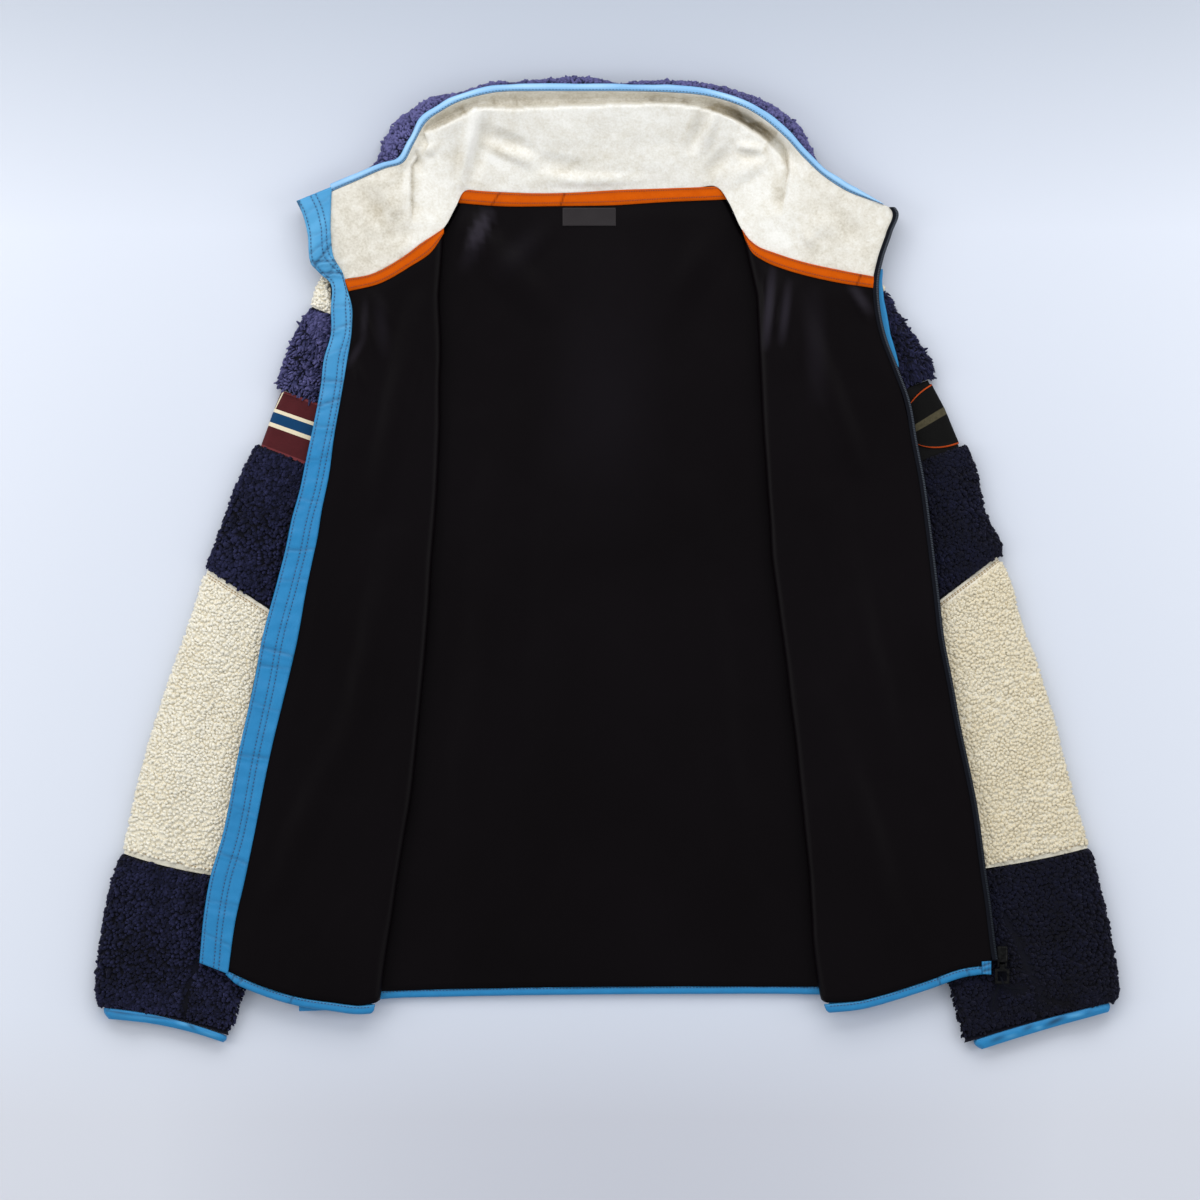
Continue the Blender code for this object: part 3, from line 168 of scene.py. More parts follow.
RIGHT_SLEEVE = {
    "shoulder": [
        (247, 251, 239.5, 247, 8, 0), (248.5, 248, 237, 241, 9, 0), (249.3, 245.2, 234.5, 231.2, 10, 0),
    ],
    "upper": [
        (249.7, 244.8, 234.9, 230.8, 12, 0), (264, 222, 233, 210, 13.3, 0), (282, 196, 231, 177, 13.3, 0),
        (291, 181, 230, 158, 13.3, 0), (292, 166.3, 229, 142.3, 12, 0),
    ],
    "band": [
        (288.5, 164.4, 229.5, 141.9, 10, 0), (302.6, 138, 227, 107, 10, 0), (316.5, 104.3, 225.7, 71.2, 10, 0),
    ],
    "lower": [
        (323, 106.7, 225, 71.7, 12, 0), (332, 83, 221, 43, 13.3, 0), (340, 46, 224, 14, 13.3, 0),
        (353, 20, 230, -24, 13.3, 0), (351.8, 7.2, 237.8, -79.8, 12, 0),
    ],
    "forearm": [
        (352.2, 6.8, 238.2, -80.2, 12, 0), (363, -18, 243, -106, 13.3, 0), (373, -54, 247, -123, 13.3, 0),
        (386, -88, 253, -148, 13.3, 0), (400, -133, 261, -184, 13.3, 1), (410, -171, 268, -213, 13.3, 2),
        (421, -214, 275, -247, 13.3, 3), (434, -255.7, 283, -279.7, 12, 4),
    ],
    "cuff": [
        (434.1, -256.3, 283.1, -280.3, 12, 4), (445, -297, 291, -308, 13.3, 3), (453, -337, 298, -341, 13.3, 2),
        (459.9, -380, 311, -393, 13.3, -2), (453, -394.8, 321, -431.5, 12, -1.5),
    ],
    "cuff_binding": [
        (451.5, -395.9, 329.5, -429.5, 11, -1.5), (451.5, -399.5, 332, -433.5, 11, -1.2),
        (451, -403.5, 337, -437.2, 9, -1),
    ],
}  # fmt: skip
PULL_CORD_RADIUS = 0.65
PULL_CORD_ROUTE = [
    (346.5, -400, 14.3), (347.5, -394, 14.3), (349.5, -387, 14.3), (351.5, -380.5, 14.35), (352.3, -376, 14.5),
    (352.6, -373, 15.4), (353.2, -371.8, 16.8), (354.2, -373, 18.1), (355.4, -376.5, 18.5), (357.2, -380, 17.8),
    (359.5, -381.6, 16.1), (363, -382.2, 14.7), (368, -382.6, 14.3), (373, -383, 14.3),
]  # fmt: skip
LABEL = (-40, 8, 303, 319.5)
# How far along each binding and tape it is creased.
HEM_CREASES = {"hem_binding_left_over": (9, 16, 64), "hem_binding_right_over": (6, 19, 46)}
TAPE_CREASES = {"neck_tape_back": (34, 92), "neck_tape_left": (), "neck_tape_right": (5, 118)}
HEM_TAB = [(336.5, -358.0), (337, -369.0)], [(345, -357.5), (345, -369.7)]  # its west and its east edge
PLACKET_CORNER = [(-265.4, 267.5, -245.5, 275), (-263.5, 265.6, -243.5, 271)]
# Small folds across the placket: the place along it, how much later it comes at the inner edge, and its height.
PLACKET_CREASES = [
    (14, 6, 0.5), (33, -5, 0.5), (50, 6, 1.0), (57, -9, 1.7), (63, 12, 2.0), (70, -9, 1.8), (78, 10, 1.3),
    (104, -3, 0.6), (126, 3, 1.1), (148, 4, 0.5), (172, -4, 1.2), (196, 5, 1.3), (214, -3, 0.6), (247, 5, 0.6),
    (281, -4, 0.5), (330, 3, 1.0), (358, 4, 0.5), (420, -4, 1.0), (437, 2, 0.8), (470, -5, 0.5), (520, 3, 0.9),
    (566, -3, 0.5), (610, -3, 0.9), (655, 4, 0.6), (684, -4, 0.7),
]  # fmt: skip
PLACKET_KINK = 64.0  # how far down the placket stands up in a kink
PLACKET_TIP = [(-278.5, 326, -275.5, 317, 1.6, 2.2)]  # the crease at its upper end, as a fold
PLACKET_SEWN = (2.6, 13.6, 18.4)  # rows of stitches across the placket, from its outer edge

# ---------------------------------------------------------------- sizes of the looks

CAMERA_PLACE, CAMERA_LENS = (-0.0063, -0.0333, 9.0), 300  # the place is in metres
FLOOR_REACH, FLOOR_Z = 4.0, -0.0004  # in metres
# Each lamp's place and size in metres, and its power.
LAMPS = {
    "softbox_top": ((-0.1, 1.5, 1.45), (3.0, 1.3), 32.0),
    "softbox_left": ((-2.4, 0.1, 1.6), (1.2, 1.8), 20.5),
    "softbox_right": ((2.4, 0.0, 1.6), (1.2, 1.8), 17.0),
}
CLOTH_STEP = 2.0  # spacing of the points of the cloth that carries the pile
NAVY_TUFT, CREAM_TUFT = 5.0, 5.2
NAVY_SPACING, CREAM_SPACING = 2.6, 3.1
UPPER_SPACING = 2.1  # the thin brushed locks of the upper stage stand closer
PILE_SINK = 1.6  # how far the cloth under the pile lies inside the solid
FLAT_SEAM = 6.5  # how far the pile of the forearm is held flat beside its upper seam
RIM_DROP = 2.0  # how far the visible rim droops back from the solid where it stands up
HOOD_HOLLOW = 7.0  # how much deeper the lining sags behind the ridge than the solid does
HALO_ENDS = (-205.0, 184.0)  # the pile behind the hood shows between these places
PRESSED_TUFT, PRESSED_REACH = 1.7, (38, 45)  # size of the pressed locks beyond both ends, and how far they go on
HALO_ROWS = 420  # points of the hood's outer fleece along its edge
HALO_GAPS = ((-84, 8), (13, 11))  # the middle and half width of the places where it is pressed flat
# Shade and shine in the folds of the cuff bindings: start, end, strength and half width.
BINDING_SHADE = [
    (-450.5, -402.6, -421.6, -406.2, 0.9, 1.3), (-421.6, -406.2, -386, -411, 0.9, 1.3),
    (-386, -419, -379.8, -422.8, 0.9, 1.8),
    (-379.8, -422.8, -350.9, -430.4, 0.9, 1.6), (-377, -414, -370, -419, 0.7, 2.2), (395, -415, 411, -408, 1.0, 3.4),
    (374, -420, 383, -415, 0.7, 3.0), (345, -430, 357, -425, 0.7, 3.0), (430, -405, 436, -402, 0.3, 3.0),
]  # fmt: skip
BINDING_SHINE = [
    (-387, -413, -375, -415.6, 0.7, 2.2), (-366, -421, -350, -426, 0.4, 2.4), (414, -408, 428, -405, 0.8, 2.6),
    (385, -418.5, 391, -417, 0.8, 2.6), (358, -427, 368, -424, 0.6, 2.4), (-445, -406.5, -400, -411, 0.3, 2.0),
]  # fmt: skip
PANEL_HEM = -392.0  # where the folds of the open panels end, towards the hem
BADGE_SPAN = (-36.0, 44.0)  # how far the badge goes round the band, to both sides of its outer edge
SHOWN_SHARE = 0.62  # share of the sleeve's top that can be seen beside the front
UNDER_FRONT = 3.0  # how far the pile is kept going beneath the edge of a front

# Seams and furrows in the pile of the cuffs: start, end and width.
CUFF_CREASES = [
    (-367, -357, -373, -372, 2.4), (-373, -372, -380, -406, 2.4), (357, -318, 368, -340, 3.4),
    (368, -340, 383, -374, 3.6), (384, -385, 387, -407, 2.6), (387, -389, 417, -397, 2.6), (384, -385, 394, -378, 2.4),
]  # fmt: skip
# The locks of each stage: height, thickness, reach, width of the tips and how far some stick out.
PILE_CUT = {
    "shoulder": (0.30, 1.5, 0.45, 0.8, 0.0), "upper": (0.9, 0.64, 1.15, 0.35, 0.5), "lower": (1.0, 1.0, 0.9, 0.5, 0.25),
    "forearm": (0.42, 1.42, 0.5, 0.8, 0.0), "cuff": (0.95, 0.98, 0.88, 0.5, 0.3), "hood": (0.9, 0.85, 0.95, 0.42, 0.35),
}  # fmt: skip
# How light the pile of each stage is painted, for the light that falls more on the hood and the upper sleeves; the
# right sleeve's pile is painted darker.
PILE_LIGHT = {"shoulder": 1.2, "upper": 1.95, "lower": 0.96, "forearm": 1.0, "cuff": 0.9, "hood": 2.7}
RIGHT_LIGHT, CREAM_RIGHT_LIGHT = 0.52, 0.30  # the right sleeve is turned a little away from the light
SIDEWAYS = {"upper": 1.4, "lower": 0.7, "cuff": 0.8}  # how far the pile of these stages is brushed outwards
STAGE_END = {"upper": 2.2, "shoulder": 1.5, "lower": 1.6, "forearm": 4.0, "cuff": 1.6}  # bare strip over lower seams

# The crest of the hood's lining, seen from above.
RIDGE = [
    (-178, 379), (-172, 382), (-157, 387), (-140, 394.5), (-128, 400.5), (-119, 406.3), (-108, 407), (-82, 406.5),
    (-60, 407.5), (-21, 409), (12, 410), (39, 410.8), (68, 409.8), (86, 406.5), (100, 402.5), (113, 397.5),
    (126, 391.5), (136, 384.5), (145, 376.5),
]  # fmt: skip
# The upper and lower edge of each stretch of neck tape.
NECK_TAPES = {
    "neck_tape_left": (
        [(-236, 254.5), (-211, 259.5), (-185, 273.5), (-166, 287.5), (-146.5, 300.5)],
        [(-232, 244), (-204, 251), (-177, 266), (-158, 279), (-146.5, 296)],
    ),
    "neck_tape_back": (
        [(-130, 336), (-99, 333.5), (-42, 332.5), (12, 335.5), (42, 336.5), (100, 338.5)],
        [(-136, 324), (-99, 321), (-42, 321), (12, 322), (42, 324), (109, 327)],
    ),
    "neck_tape_right": (
        [(121, 300), (126, 292.5), (134.1, 285.3), (151.8, 278), (174.3, 270.8), (206, 263.6), (241, 256.8)],
        [(124.5, 289), (131, 278), (142.2, 270.5), (158.3, 264), (174.3, 259.2), (206, 252), (239.5, 246.8)],
    ),
}  # fmt: skip
# Soft folds and creases: start and end of the crest, height (negative is a trough) and half width.
BACK_FOLDS = [
    (-10, 250, -15, -330, 4.0, 75), (-90, 120, -130, -330, 2.5, 32), (75, 60, 120, -330, 2.5, 30),
    (-122, 300, -60, 230, 2.5, 22), (100, 300, 60, 230, 2.0, 20), (-108, 316, -124, 282, 3.2, 7),
    (-92, 318, -106, 296, -1.5, 6), (-50, 300, -95, 262, 1.0, 10),
]  # fmt: skip
FRONT_FOLDS = [
    (142, 262, 140, 215, 2.2, 5), (155, 255, 149, 210, 2.2, 5), (219, 246, 232, 222, 1.8, 5),
    (165, 240, 225, 90, 3.0, 16), (200, 60, 255, -180, 2.5, 22), (190, -120, 260, -330, 2.5, 22),
    (-222, 232, -206, 188, 1.8, 5), (-236, 196, -219, 160, 2.0, 6), (-212, 240, -190, 214, 1.2, 6),
    (-170, 230, -205, 60, 2.5, 18), (-190, 20, -235, -190, 2.5, 22), (-235, -150, -300, -300, 2.0, 20),
]  # fmt: skip
# Streaks of shine on the lining where it is drawn tight: start, end, strength and half width.
STREAKS = [
    (-107, 314, -122, 287, 1.5, 8), (-112, 300, -128, 268, 0.3, 10), (-60, 300, -95, 262, 0.12, 16),
    (148.7, 263, 142.2, 196, 1.0, 6), (163, 250, 157, 200, 0.7, 6), (219, 250, 236, 226, 0.7, 7),
    (185, 240, 190, 150, 0.2, 14), (-217, 235, -219, 200, 0.35, 5), (-219.6, 199, -232, 178, 0.45, 5),
    (-205, 236, -200, 190, 0.2, 9), (0, 240, -8, 60, 0.10, 70),
]  # fmt: skip
HOOD_CREASES = [
    (-119, 404, -129, 342, 3.0, 10), (-106, 400, -122, 345, -3.2, 10), (-108, 386, -72, 370, -3.2, 11),
    (-96, 374, -66, 360, 2.4, 10), (-62, 362, -20, 352, -2.2, 12), (-60, 345, 30, 343, 1.6, 9),
    (86, 402, 76, 372, -3.0, 8), (96, 402, 88, 372, 2.2, 7), (92, 350, 112, 372, -2.6, 10),
    (112, 345, 142, 362, 2.4, 11), (118, 374, 140, 371, 2.4, 6), (120, 366, 138, 362, -2.0, 6),
    (-133, 402, -126, 416, -1.0, 3), (-103, 409, -100, 421, -1.6, 3.5), (-83, 409, -79, 422, -1.4, 3),
    (40, 412, 44, 421, -1.4, 4), (70, 410, 72, 420, -2.0, 4), (-214, 330, -196, 300, -2.6, 14),
    (200, 318, 226, 290, -2.0, 14), (113, 405, 142, 386, -9.0, 8), (136, 398, 150, 388, 3.0, 4),
    (-208, 300, -182, 330, 1.8, 12), (180, 300, 210, 306, 1.6, 14), (178, 296, 186, 284, 2.0, 8),
    (-196, 288, -170, 300, -1.6, 12), (-176, 371, -166, 352, -2.0, 6), (-164, 368, -156, 372, 1.6, 7),
]  # fmt: skip
# Shade (or shine, where negative) in the folds of the hood: start, end, strength and half width.
HOOD_SHADE = [
    (-118, 405, -124, 362, -1.3, 8), (-132, 376, -136, 351, 0.7, 9), (-110, 378, -85, 362, 1.1, 7),
    (-112, 369, -87, 352, -0.8, 7), (-62, 366, -52, 364, 0.4, 7), (-68, 341, -21, 362, 0.5, 9),
    (-126, 342, -106, 337, 0.5, 5), (-180, 356, -181, 316, -0.5, 6), (-60, 405, 40, 407, -0.4, 9),
    (79, 403, 68, 380, 0.8, 4.5), (86, 358, 101, 341, 0.7, 6), (117, 371, 140, 369, 0.5, 3.5),
    (144.6, 377, 140.6, 368, 1.4, 3), (152, 381, 155, 356, -0.8, 6), (162.4, 372, 162.8, 349, 0.9, 2.6),
    (153, 346, 152, 324, 1.0, 8), (134, 314, 163, 283, -0.6, 9), (-133, 412, -126, 402, 0.7, 3.0),
    (-103, 419, -100, 409, 0.6, 2.4), (-83, 419, -80, 409, 0.6, 1.8), (70, 418, 66, 411, 0.7, 3),
    (20, 350, -30, 375, 0.3, 14), (0, 398, 60, 396, -0.3, 8), (200, 320, 226, 294, 0.2, 12),
    (-214, 330, -200, 305, 0.4, 12),
]  # fmt: skip
# Deeper shade inside these outlines of the hood's lining, with its strength.
HOOD_HOLLOWS = [
    ([(100.4, 413.5), (119.7, 405), (126, 397), (139, 396), (153.5, 387.5), (152.6, 383.5), (144.6, 377), (126, 392),
      (106.8, 400.3), (88, 408.5)], 1.3),
    ([(117, 410.5), (126, 408), (142, 401), (155, 389.6), (158, 383.5), (152.6, 386.5), (139, 395.5), (126, 396.5),
      (120.5, 403.5)], -1.0),
    ([(-171, 381), (-166, 389), (-158, 397), (-147, 406), (-132, 409.5), (-119.4, 408.5), (-132.3, 400.5),
      (-151.6, 389)], 0.5),
]  # fmt: skip
# Creases where one side lies over the other: the line, the height of the step, how far it fades, and the way in X
# towards the lower side.
HOOD_STEPS = [
    ([(-174, 374), (-170, 364), (-175.5, 356), (-175.8, 330), (-175, 305)], 5.0, 14, 1),
    ([(143, 392), (146, 384), (152.6, 386), (161, 372), (163, 352), (160.5, 334), (156, 312)], 6.5, 13, -1),
]

# ---------------------------------------------------------------- lines and grids


def hood_sections():
    """Each column of the hood's table, by name."""
    return {key: np.array(column, float) for key, column in zip(HOOD_COLUMNS.split(), zip(*HOOD_SECTIONS))}


def curve(values, slopes, k, t, span=1.0):
    """Values on the smooth curve from value k to the next, at a share t of the span between them."""
    ahead, after = span * slopes[k], span * slopes[k + 1]
    fine = (2 * t**3 - 3 * t**2 + 1) * values[k] + (t**3 - 2 * t**2 + t) * ahead
    return fine + (3 * t**2 - 2 * t**3) * values[k + 1] + (t**3 - t**2) * after


def through(values, count):
    """count values on smooth curves through the given ones."""
    values = np.asarray(values, float)
    at = np.linspace(0, len(values) - 1, count)
    k = np.clip(at.astype(int), 0, len(values) - 2)
    t = (at - k).reshape(-1, *[1] * (values.ndim - 1))
    return curve(values, np.gradient(values, axis=0), k, t)


def walked(line):
    """How far along the line each of its points lies."""
    return np.concatenate([[0], np.cumsum(np.linalg.norm(np.diff(line, axis=0), axis=1))])


def along_line(line, at):
    """The points at these distances along a line."""
    reach = walked(line)
    return np.stack([np.interp(at, reach, column) for column in line.T], axis=1)


def even_line(points, count):
    """count points, evenly spaced, on straight stretches between the given ones."""
    points = np.asarray(points, float)
    return along_line(points, np.linspace(0, walked(points)[-1], count))


def smooth_line(points, count):
    """count points, evenly spaced, on a smooth curve through the given ones."""
    points = np.array(points, float)
    reach = walked(points)
    at = np.linspace(0, reach[-1], 40 * len(points))
    k = np.clip(np.searchsorted(reach, at, "right") - 1, 0, len(points) - 2)
    span = (reach[k + 1] - reach[k])[:, None]
    t = (at - reach[k])[:, None] / span
    return even_line(curve(points, np.gradient(points, reach, axis=0), k, t, span), count)


def patch(start, end, first, last):
    """A grid that fills the space between four lines, which meet at their ends."""
    v = np.linspace(0, 1, len(start))[:, None, None]
    u = np.linspace(0, 1, len(first))[None, :, None]
    corners = (1 - v) * (1 - u) * first[0] + (1 - v) * u * first[-1] + v * (1 - u) * last[0] + v * u * last[-1]
    return (1 - u) * start[:, None] + u * end[:, None] + (1 - v) * first[None] + v * last[None] - corners


def panel(west, east, top, hem):
    """The flat grid of a panel. Its corners are the ends of the top and hem lines."""
    west, east = np.array(west, float), np.array(east, float)
    west[0], east[0], west[-1], east[-1] = top[0], top[-1], hem[0], hem[-1]
    return patch(west, east, top, hem)


def at_height(grid, z):
    """The flat grid with a height at each of its points."""
    z = np.broadcast_to(np.asarray(z, float), grid.shape[:-1])
    return np.concatenate([grid[..., :2], z[..., None]], axis=-1)


def between(first, last, shares):
    """A grid whose columns lie at these shares of the way from the first line to the last."""
    return first[:, None] * (1 - shares)[None, :, None] + last[:, None] * shares[None, :, None]


def x_at(line, y):
    """Where a line, listed from the hood down, lies at these heights."""
    line = np.array(line, float)[::-1]
    return np.interp(y, line[:, 1], line[:, 0])


def unit(vectors):
    return vectors / np.maximum(np.linalg.norm(vectors, axis=-1, keepdims=True), 1e-9)


def moved_aside(line, distance):
    """The line moved to its right-hand side, as seen when walking along it."""
    line = np.array(line, float)
    ahead = unit(np.gradient(line, axis=0))
    return line + np.stack([ahead[:, 1], -ahead[:, 0]], axis=1) * np.reshape(distance, (-1, 1))


def bell(distance, width):
    """1 at no distance, falling softly to 0 beyond about twice the width."""
    return np.exp(-((distance / width) ** 2))


def ramp(value, length=1.0):
    """0 below zero, rising evenly to 1 over this length."""
    return np.clip(value / length, 0, 1)


def beside_stretch(flat, start, end):
    """For each point, the share of the stretch from start to end where it is nearest, and how far off it lies."""
    start, end = np.array(start, float), np.array(end, float)
    share = ramp(((flat - start) @ (end - start)) / ((end - start) @ (end - start)))
    return share, np.linalg.norm(flat - (start + share[..., None] * (end - start)), axis=-1)


def folds_at(grid, table):
    """How far the folds of a table lift the cloth (or how strong its streaks are) at each point of the grid."""
    total = np.zeros(grid.shape[:-1])
    for x1, y1, x2, y2, rise, half_width in table:
        share, away = beside_stretch(grid[..., :2], (x1, y1), (x2, y2))
        bump = np.clip(1 - (away / half_width) ** 2, 0, 1) ** 2
        total += rise * bump * (0.35 + 0.65 * np.sin(np.pi * share))
    return total


# ---------------------------------------------------------------- roughness of nature


def chance(ix, iy, seed):
    """A number from 0 to 1 for each whole-numbered place."""
    return np.mod(np.sin(ix * 127.1 + iy * 311.7 + seed * 74.7) * 43758.5453, 1.0)


def drift(u, v, size, seed):
    """Soft unevenness from -1 to 1 that changes over about this size."""
    x, y = u / size, v / size
    ix, iy = np.floor(x), np.floor(y)
    fx, fy = x - ix, y - iy
    fx, fy = fx * fx * (3 - 2 * fx), fy * fy * (3 - 2 * fy)
    low = chance(ix, iy, seed) * (1 - fx) + chance(ix + 1, iy, seed) * fx
    high = chance(ix, iy + 1, seed) * (1 - fx) + chance(ix + 1, iy + 1, seed) * fx
    return (low * (1 - fy) + high * fy) * 2 - 1


# ---------------------------------------------------------------- meshes


def made(name, points, faces, finish, along=None, marks=None, body="garment"):
    """A smooth mesh from points in millimetres. along gives each point's place on the cloth, in millimetres."""
    points = np.asarray(points, float).reshape(-1, 3) * MM
    faces = np.asarray(faces)
    sides = faces.shape[1]
    mesh = bpy.data.meshes.new(name)
    mesh.vertices.add(len(points))
    mesh.vertices.foreach_set("co", points.ravel())
    mesh.loops.add(faces.size)
    mesh.loops.foreach_set("vertex_index", faces.ravel())
    mesh.polygons.add(len(faces))
    mesh.polygons.foreach_set("loop_start", np.arange(0, faces.size, sides))
    mesh.polygons.foreach_set("use_smooth", np.ones(len(faces), bool))
    mesh.update(calc_edges=True)
    if along is not None:
        layer = mesh.uv_layers.new(name="cloth")
        layer.data.foreach_set("uv", (np.asarray(along, float).reshape(-1, 2)[faces.ravel()] * MM).ravel())
    for key, values in (marks or {}).items():
        mesh.attributes.new(key, "FLOAT", "POINT").data.foreach_set("value", np.asarray(values, np.float32).ravel())
    mesh.validate()
    mesh.materials.append(finish)
    piece = bpy.data.objects.new(name, mesh)
    bpy.context.scene.collection.objects.link(piece)
    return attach(piece, body)


def squares(rows, cols, ring=False):
    """The faces of a grid. Walking down the rows with the columns to the right, they face up."""
    r = np.arange(rows - 1)[:, None]
    c = np.arange(cols if ring else cols - 1)[None, :]
    a, b = r * cols + c, r * cols + (c + 1) % cols
    return np.stack([a, a + cols, b + cols, b], axis=-1).reshape(-1, 4)


# A small form of three rings of four points, closed at its far end.
CLOSED_PEG = np.concatenate([squares(3, 4, ring=True)[:, ::-1], [[8, 9, 10, 11]]])


def cloth_between(name, top, bottom, finish, along=None, marks=None, opened=False):
    """A piece of cloth between two grids of points. It is closed all round, or opened along its first column."""
    rows, cols = top.shape[:2]
    count = rows * cols
    first, last = np.arange(cols), (rows - 1) * cols + np.arange(cols - 2, -1, -1)
    rim = np.concatenate([first, np.arange(1, rows) * cols + cols - 1, last, np.arange(rows - 2, 0, -1) * cols])
    after = np.roll(rim, -1)
    around = np.stack([rim, after, after + count, rim + count], axis=1)
    if opened:
        around = around[: len(around) - rows + 1]
    faces = np.concatenate([squares(rows, cols), squares(rows, cols)[:, ::-1] + count, around])
    points = np.concatenate([top.reshape(-1, 3), bottom.reshape(-1, 3)])
    if along is not None:
        along = np.concatenate([along.reshape(-1, 2)] * 2)
    if marks:
        marks = {key: np.concatenate([np.ravel(values)] * 2) for key, values in marks.items()}
    return made(name, points, faces, finish, along, marks)


def upward(grid):
    """Which way the surface of a grid faces at each of its points."""
    down, across = np.gradient(grid, axis=0), np.gradient(grid, axis=1)
    return unit(np.cross(down, across))


def repeated(faces, count):
    """The faces of one small form, for this many of them whose points follow each other."""
    return (faces[None] + np.arange(count)[:, None, None] * (faces.max() + 1)).reshape(-1, 4)


def line_frames(line, at):
    """The points at these distances along a line, and which way the line and its left-hand side go there."""
    point = along_line(line, at)
    ahead = unit(along_line(line, at + 0.5) - point)
    return point, ahead, np.stack([-ahead[:, 1], ahead[:, 0], 0 * at], axis=1)


def stitches(name, line, finish, length, pitch, thick):
    """A row of sewn stitches along a line of points that lies on the cloth."""
    line = np.asarray(line, float)
    reach = walked(line)[-1]
    count = max(int(reach / pitch), 1)
    middle = (np.arange(count) + 0.5) * reach / count
    rings = []
    for share, width in ((-0.5, 0.25), (-0.36, 0.9), (0, 1.0), (0.36, 0.9), (0.5, 0.25)):
        point, _, side = line_frames(line, middle + share * length)
        for turn in np.radians((0, 60, 120, 180, 240, 300)):
            lift = np.array([0, 0, 0.6 * thick * width * math.sin(turn) + 0.08])
            rings.append(point + side * thick * width * math.cos(turn) + lift)
    return made(name, np.stack(rings, axis=1), repeated(squares(5, 6, ring=True), count), finish)


def in_grid(grid, row, col):
    """The values of a grid at places between its points."""
    i, j = np.clip(row.astype(int), 0, len(grid) - 2), np.clip(col.astype(int), 0, grid.shape[1] - 2)
    a, b = row - i, col - j
    if grid.ndim == 3:
        a, b = a[:, None], b[:, None]
    low = grid[i, j] * (1 - b) + grid[i, j + 1] * b
    return low * (1 - a) + (grid[i + 1, j] * (1 - b) + grid[i + 1, j + 1] * b) * a


def scattered(rows, cols, row_step, col_step, seed):
    """Uneven places over a grid, about this many rows and columns apart."""
    r, c = np.meshgrid(np.arange(0, rows - 1, row_step), np.arange(0, cols - 1, col_step), indexing="ij")
    shift = 0.5 * (np.arange(r.shape[0])[:, None] % 2)
    r2 = r + row_step * (0.5 + 0.8 * (chance(r, c, seed) - 0.5))
    c2 = c + col_step * (0.5 + shift + 0.8 * (chance(r, c, seed + 5) - 0.5))
    return np.clip(r2, 0, rows - 1.001).ravel(), np.clip(c2, 0, cols - 1.001).ravel()


def tufts(name, roots, facing, nap, size, finish, seed, cut, lift):
    """Curled locks of pile. Each stands on its root and bends over roughly along the nap. The cut gives their height,
    thickness, reach, the width of their tips and how far some stick out. lift is how light they are painted."""
    high, slim, long, tip, wild = cut
    i = np.arange(len(roots))

    def pick(k):
        return chance(i, k + 0 * i, seed)[:, None]

    facing = unit(facing)
    nap = unit(nap - facing * (nap * facing).sum(axis=1, keepdims=True))
    side = np.cross(facing, nap)
    clump = drift(roots[:, 0], roots[:, 1], 6.0, seed + 31)[:, None]
    turn = 1.1 * clump + (pick(1) - 0.5) * 1.6
    lean = nap * np.cos(turn) + side * np.sin(turn)
    size = np.reshape(size, (-1, 1)) * (0.8 + 0.4 * pick(6) + wild * (pick(7) > 0.8))
    tall, reach = size * high * (0.30 + 0.22 * pick(2)), size * long * (0.45 + 0.5 * pick(3))
    radius = size * slim * (0.25 + 0.07 * pick(4))
    tone = 0.8 + 0.35 * pick(5)[:, 0] + 0.2 * drift(roots[:, 0], roots[:, 1], 5.0, seed + 37)
    rings, marks = [], []
    quarter_turns = np.arange(4) * math.pi / 2
    # Each lock is painted in shade at its root and in light at its tip.
    for t, width, shade in ((0.05, 0.95, 0.05), (0.55, 1.0, 0.65), (1.0, tip, 1.0)):
        centre = roots + facing * (tall * (1 - (1 - t) ** 2) - 0.1 * size) + lean * reach * t**1.4
        axis = unit(facing * tall * 2 * (1.02 - t) + lean * reach * 1.4 * t**0.4)
        u = unit(np.cross(axis, np.cross(facing, lean)))
        v = np.cross(axis, u)
        for a in quarter_turns:
            rings.append(centre + radius * width * (u * math.cos(a) + 1.15 * v * math.sin(a)))
            marks.append(shade * tone * np.ravel(lift))
    faces = repeated(CLOSED_PEG, len(roots))
    return made(name, np.stack(rings, axis=1), faces, finish, marks={"pile": np.stack(marks, axis=1)})


# ---------------------------------------------------------------- finishes


def sum_with(operation):
    """One kind of sum that a Value can take part in."""

    def work(self, other=0.0):
        return self.finish.node("ShaderNodeMath", {"operation": operation}, {0: self, 1: other})

    return work


class Value:
    """A socket of a finish that takes part in sums."""

    def __init__(self, finish, socket):
        self.finish, self.socket = finish, socket

    __add__, __sub__, __mul__ = sum_with("ADD"), sum_with("SUBTRACT"), sum_with("MULTIPLY")
    __gt__, __lt__ = sum_with("GREATER_THAN"), sum_with("LESS_THAN")
    minimum, maximum, absolute = sum_with("MINIMUM"), sum_with("MAXIMUM"), sum_with("ABSOLUTE")


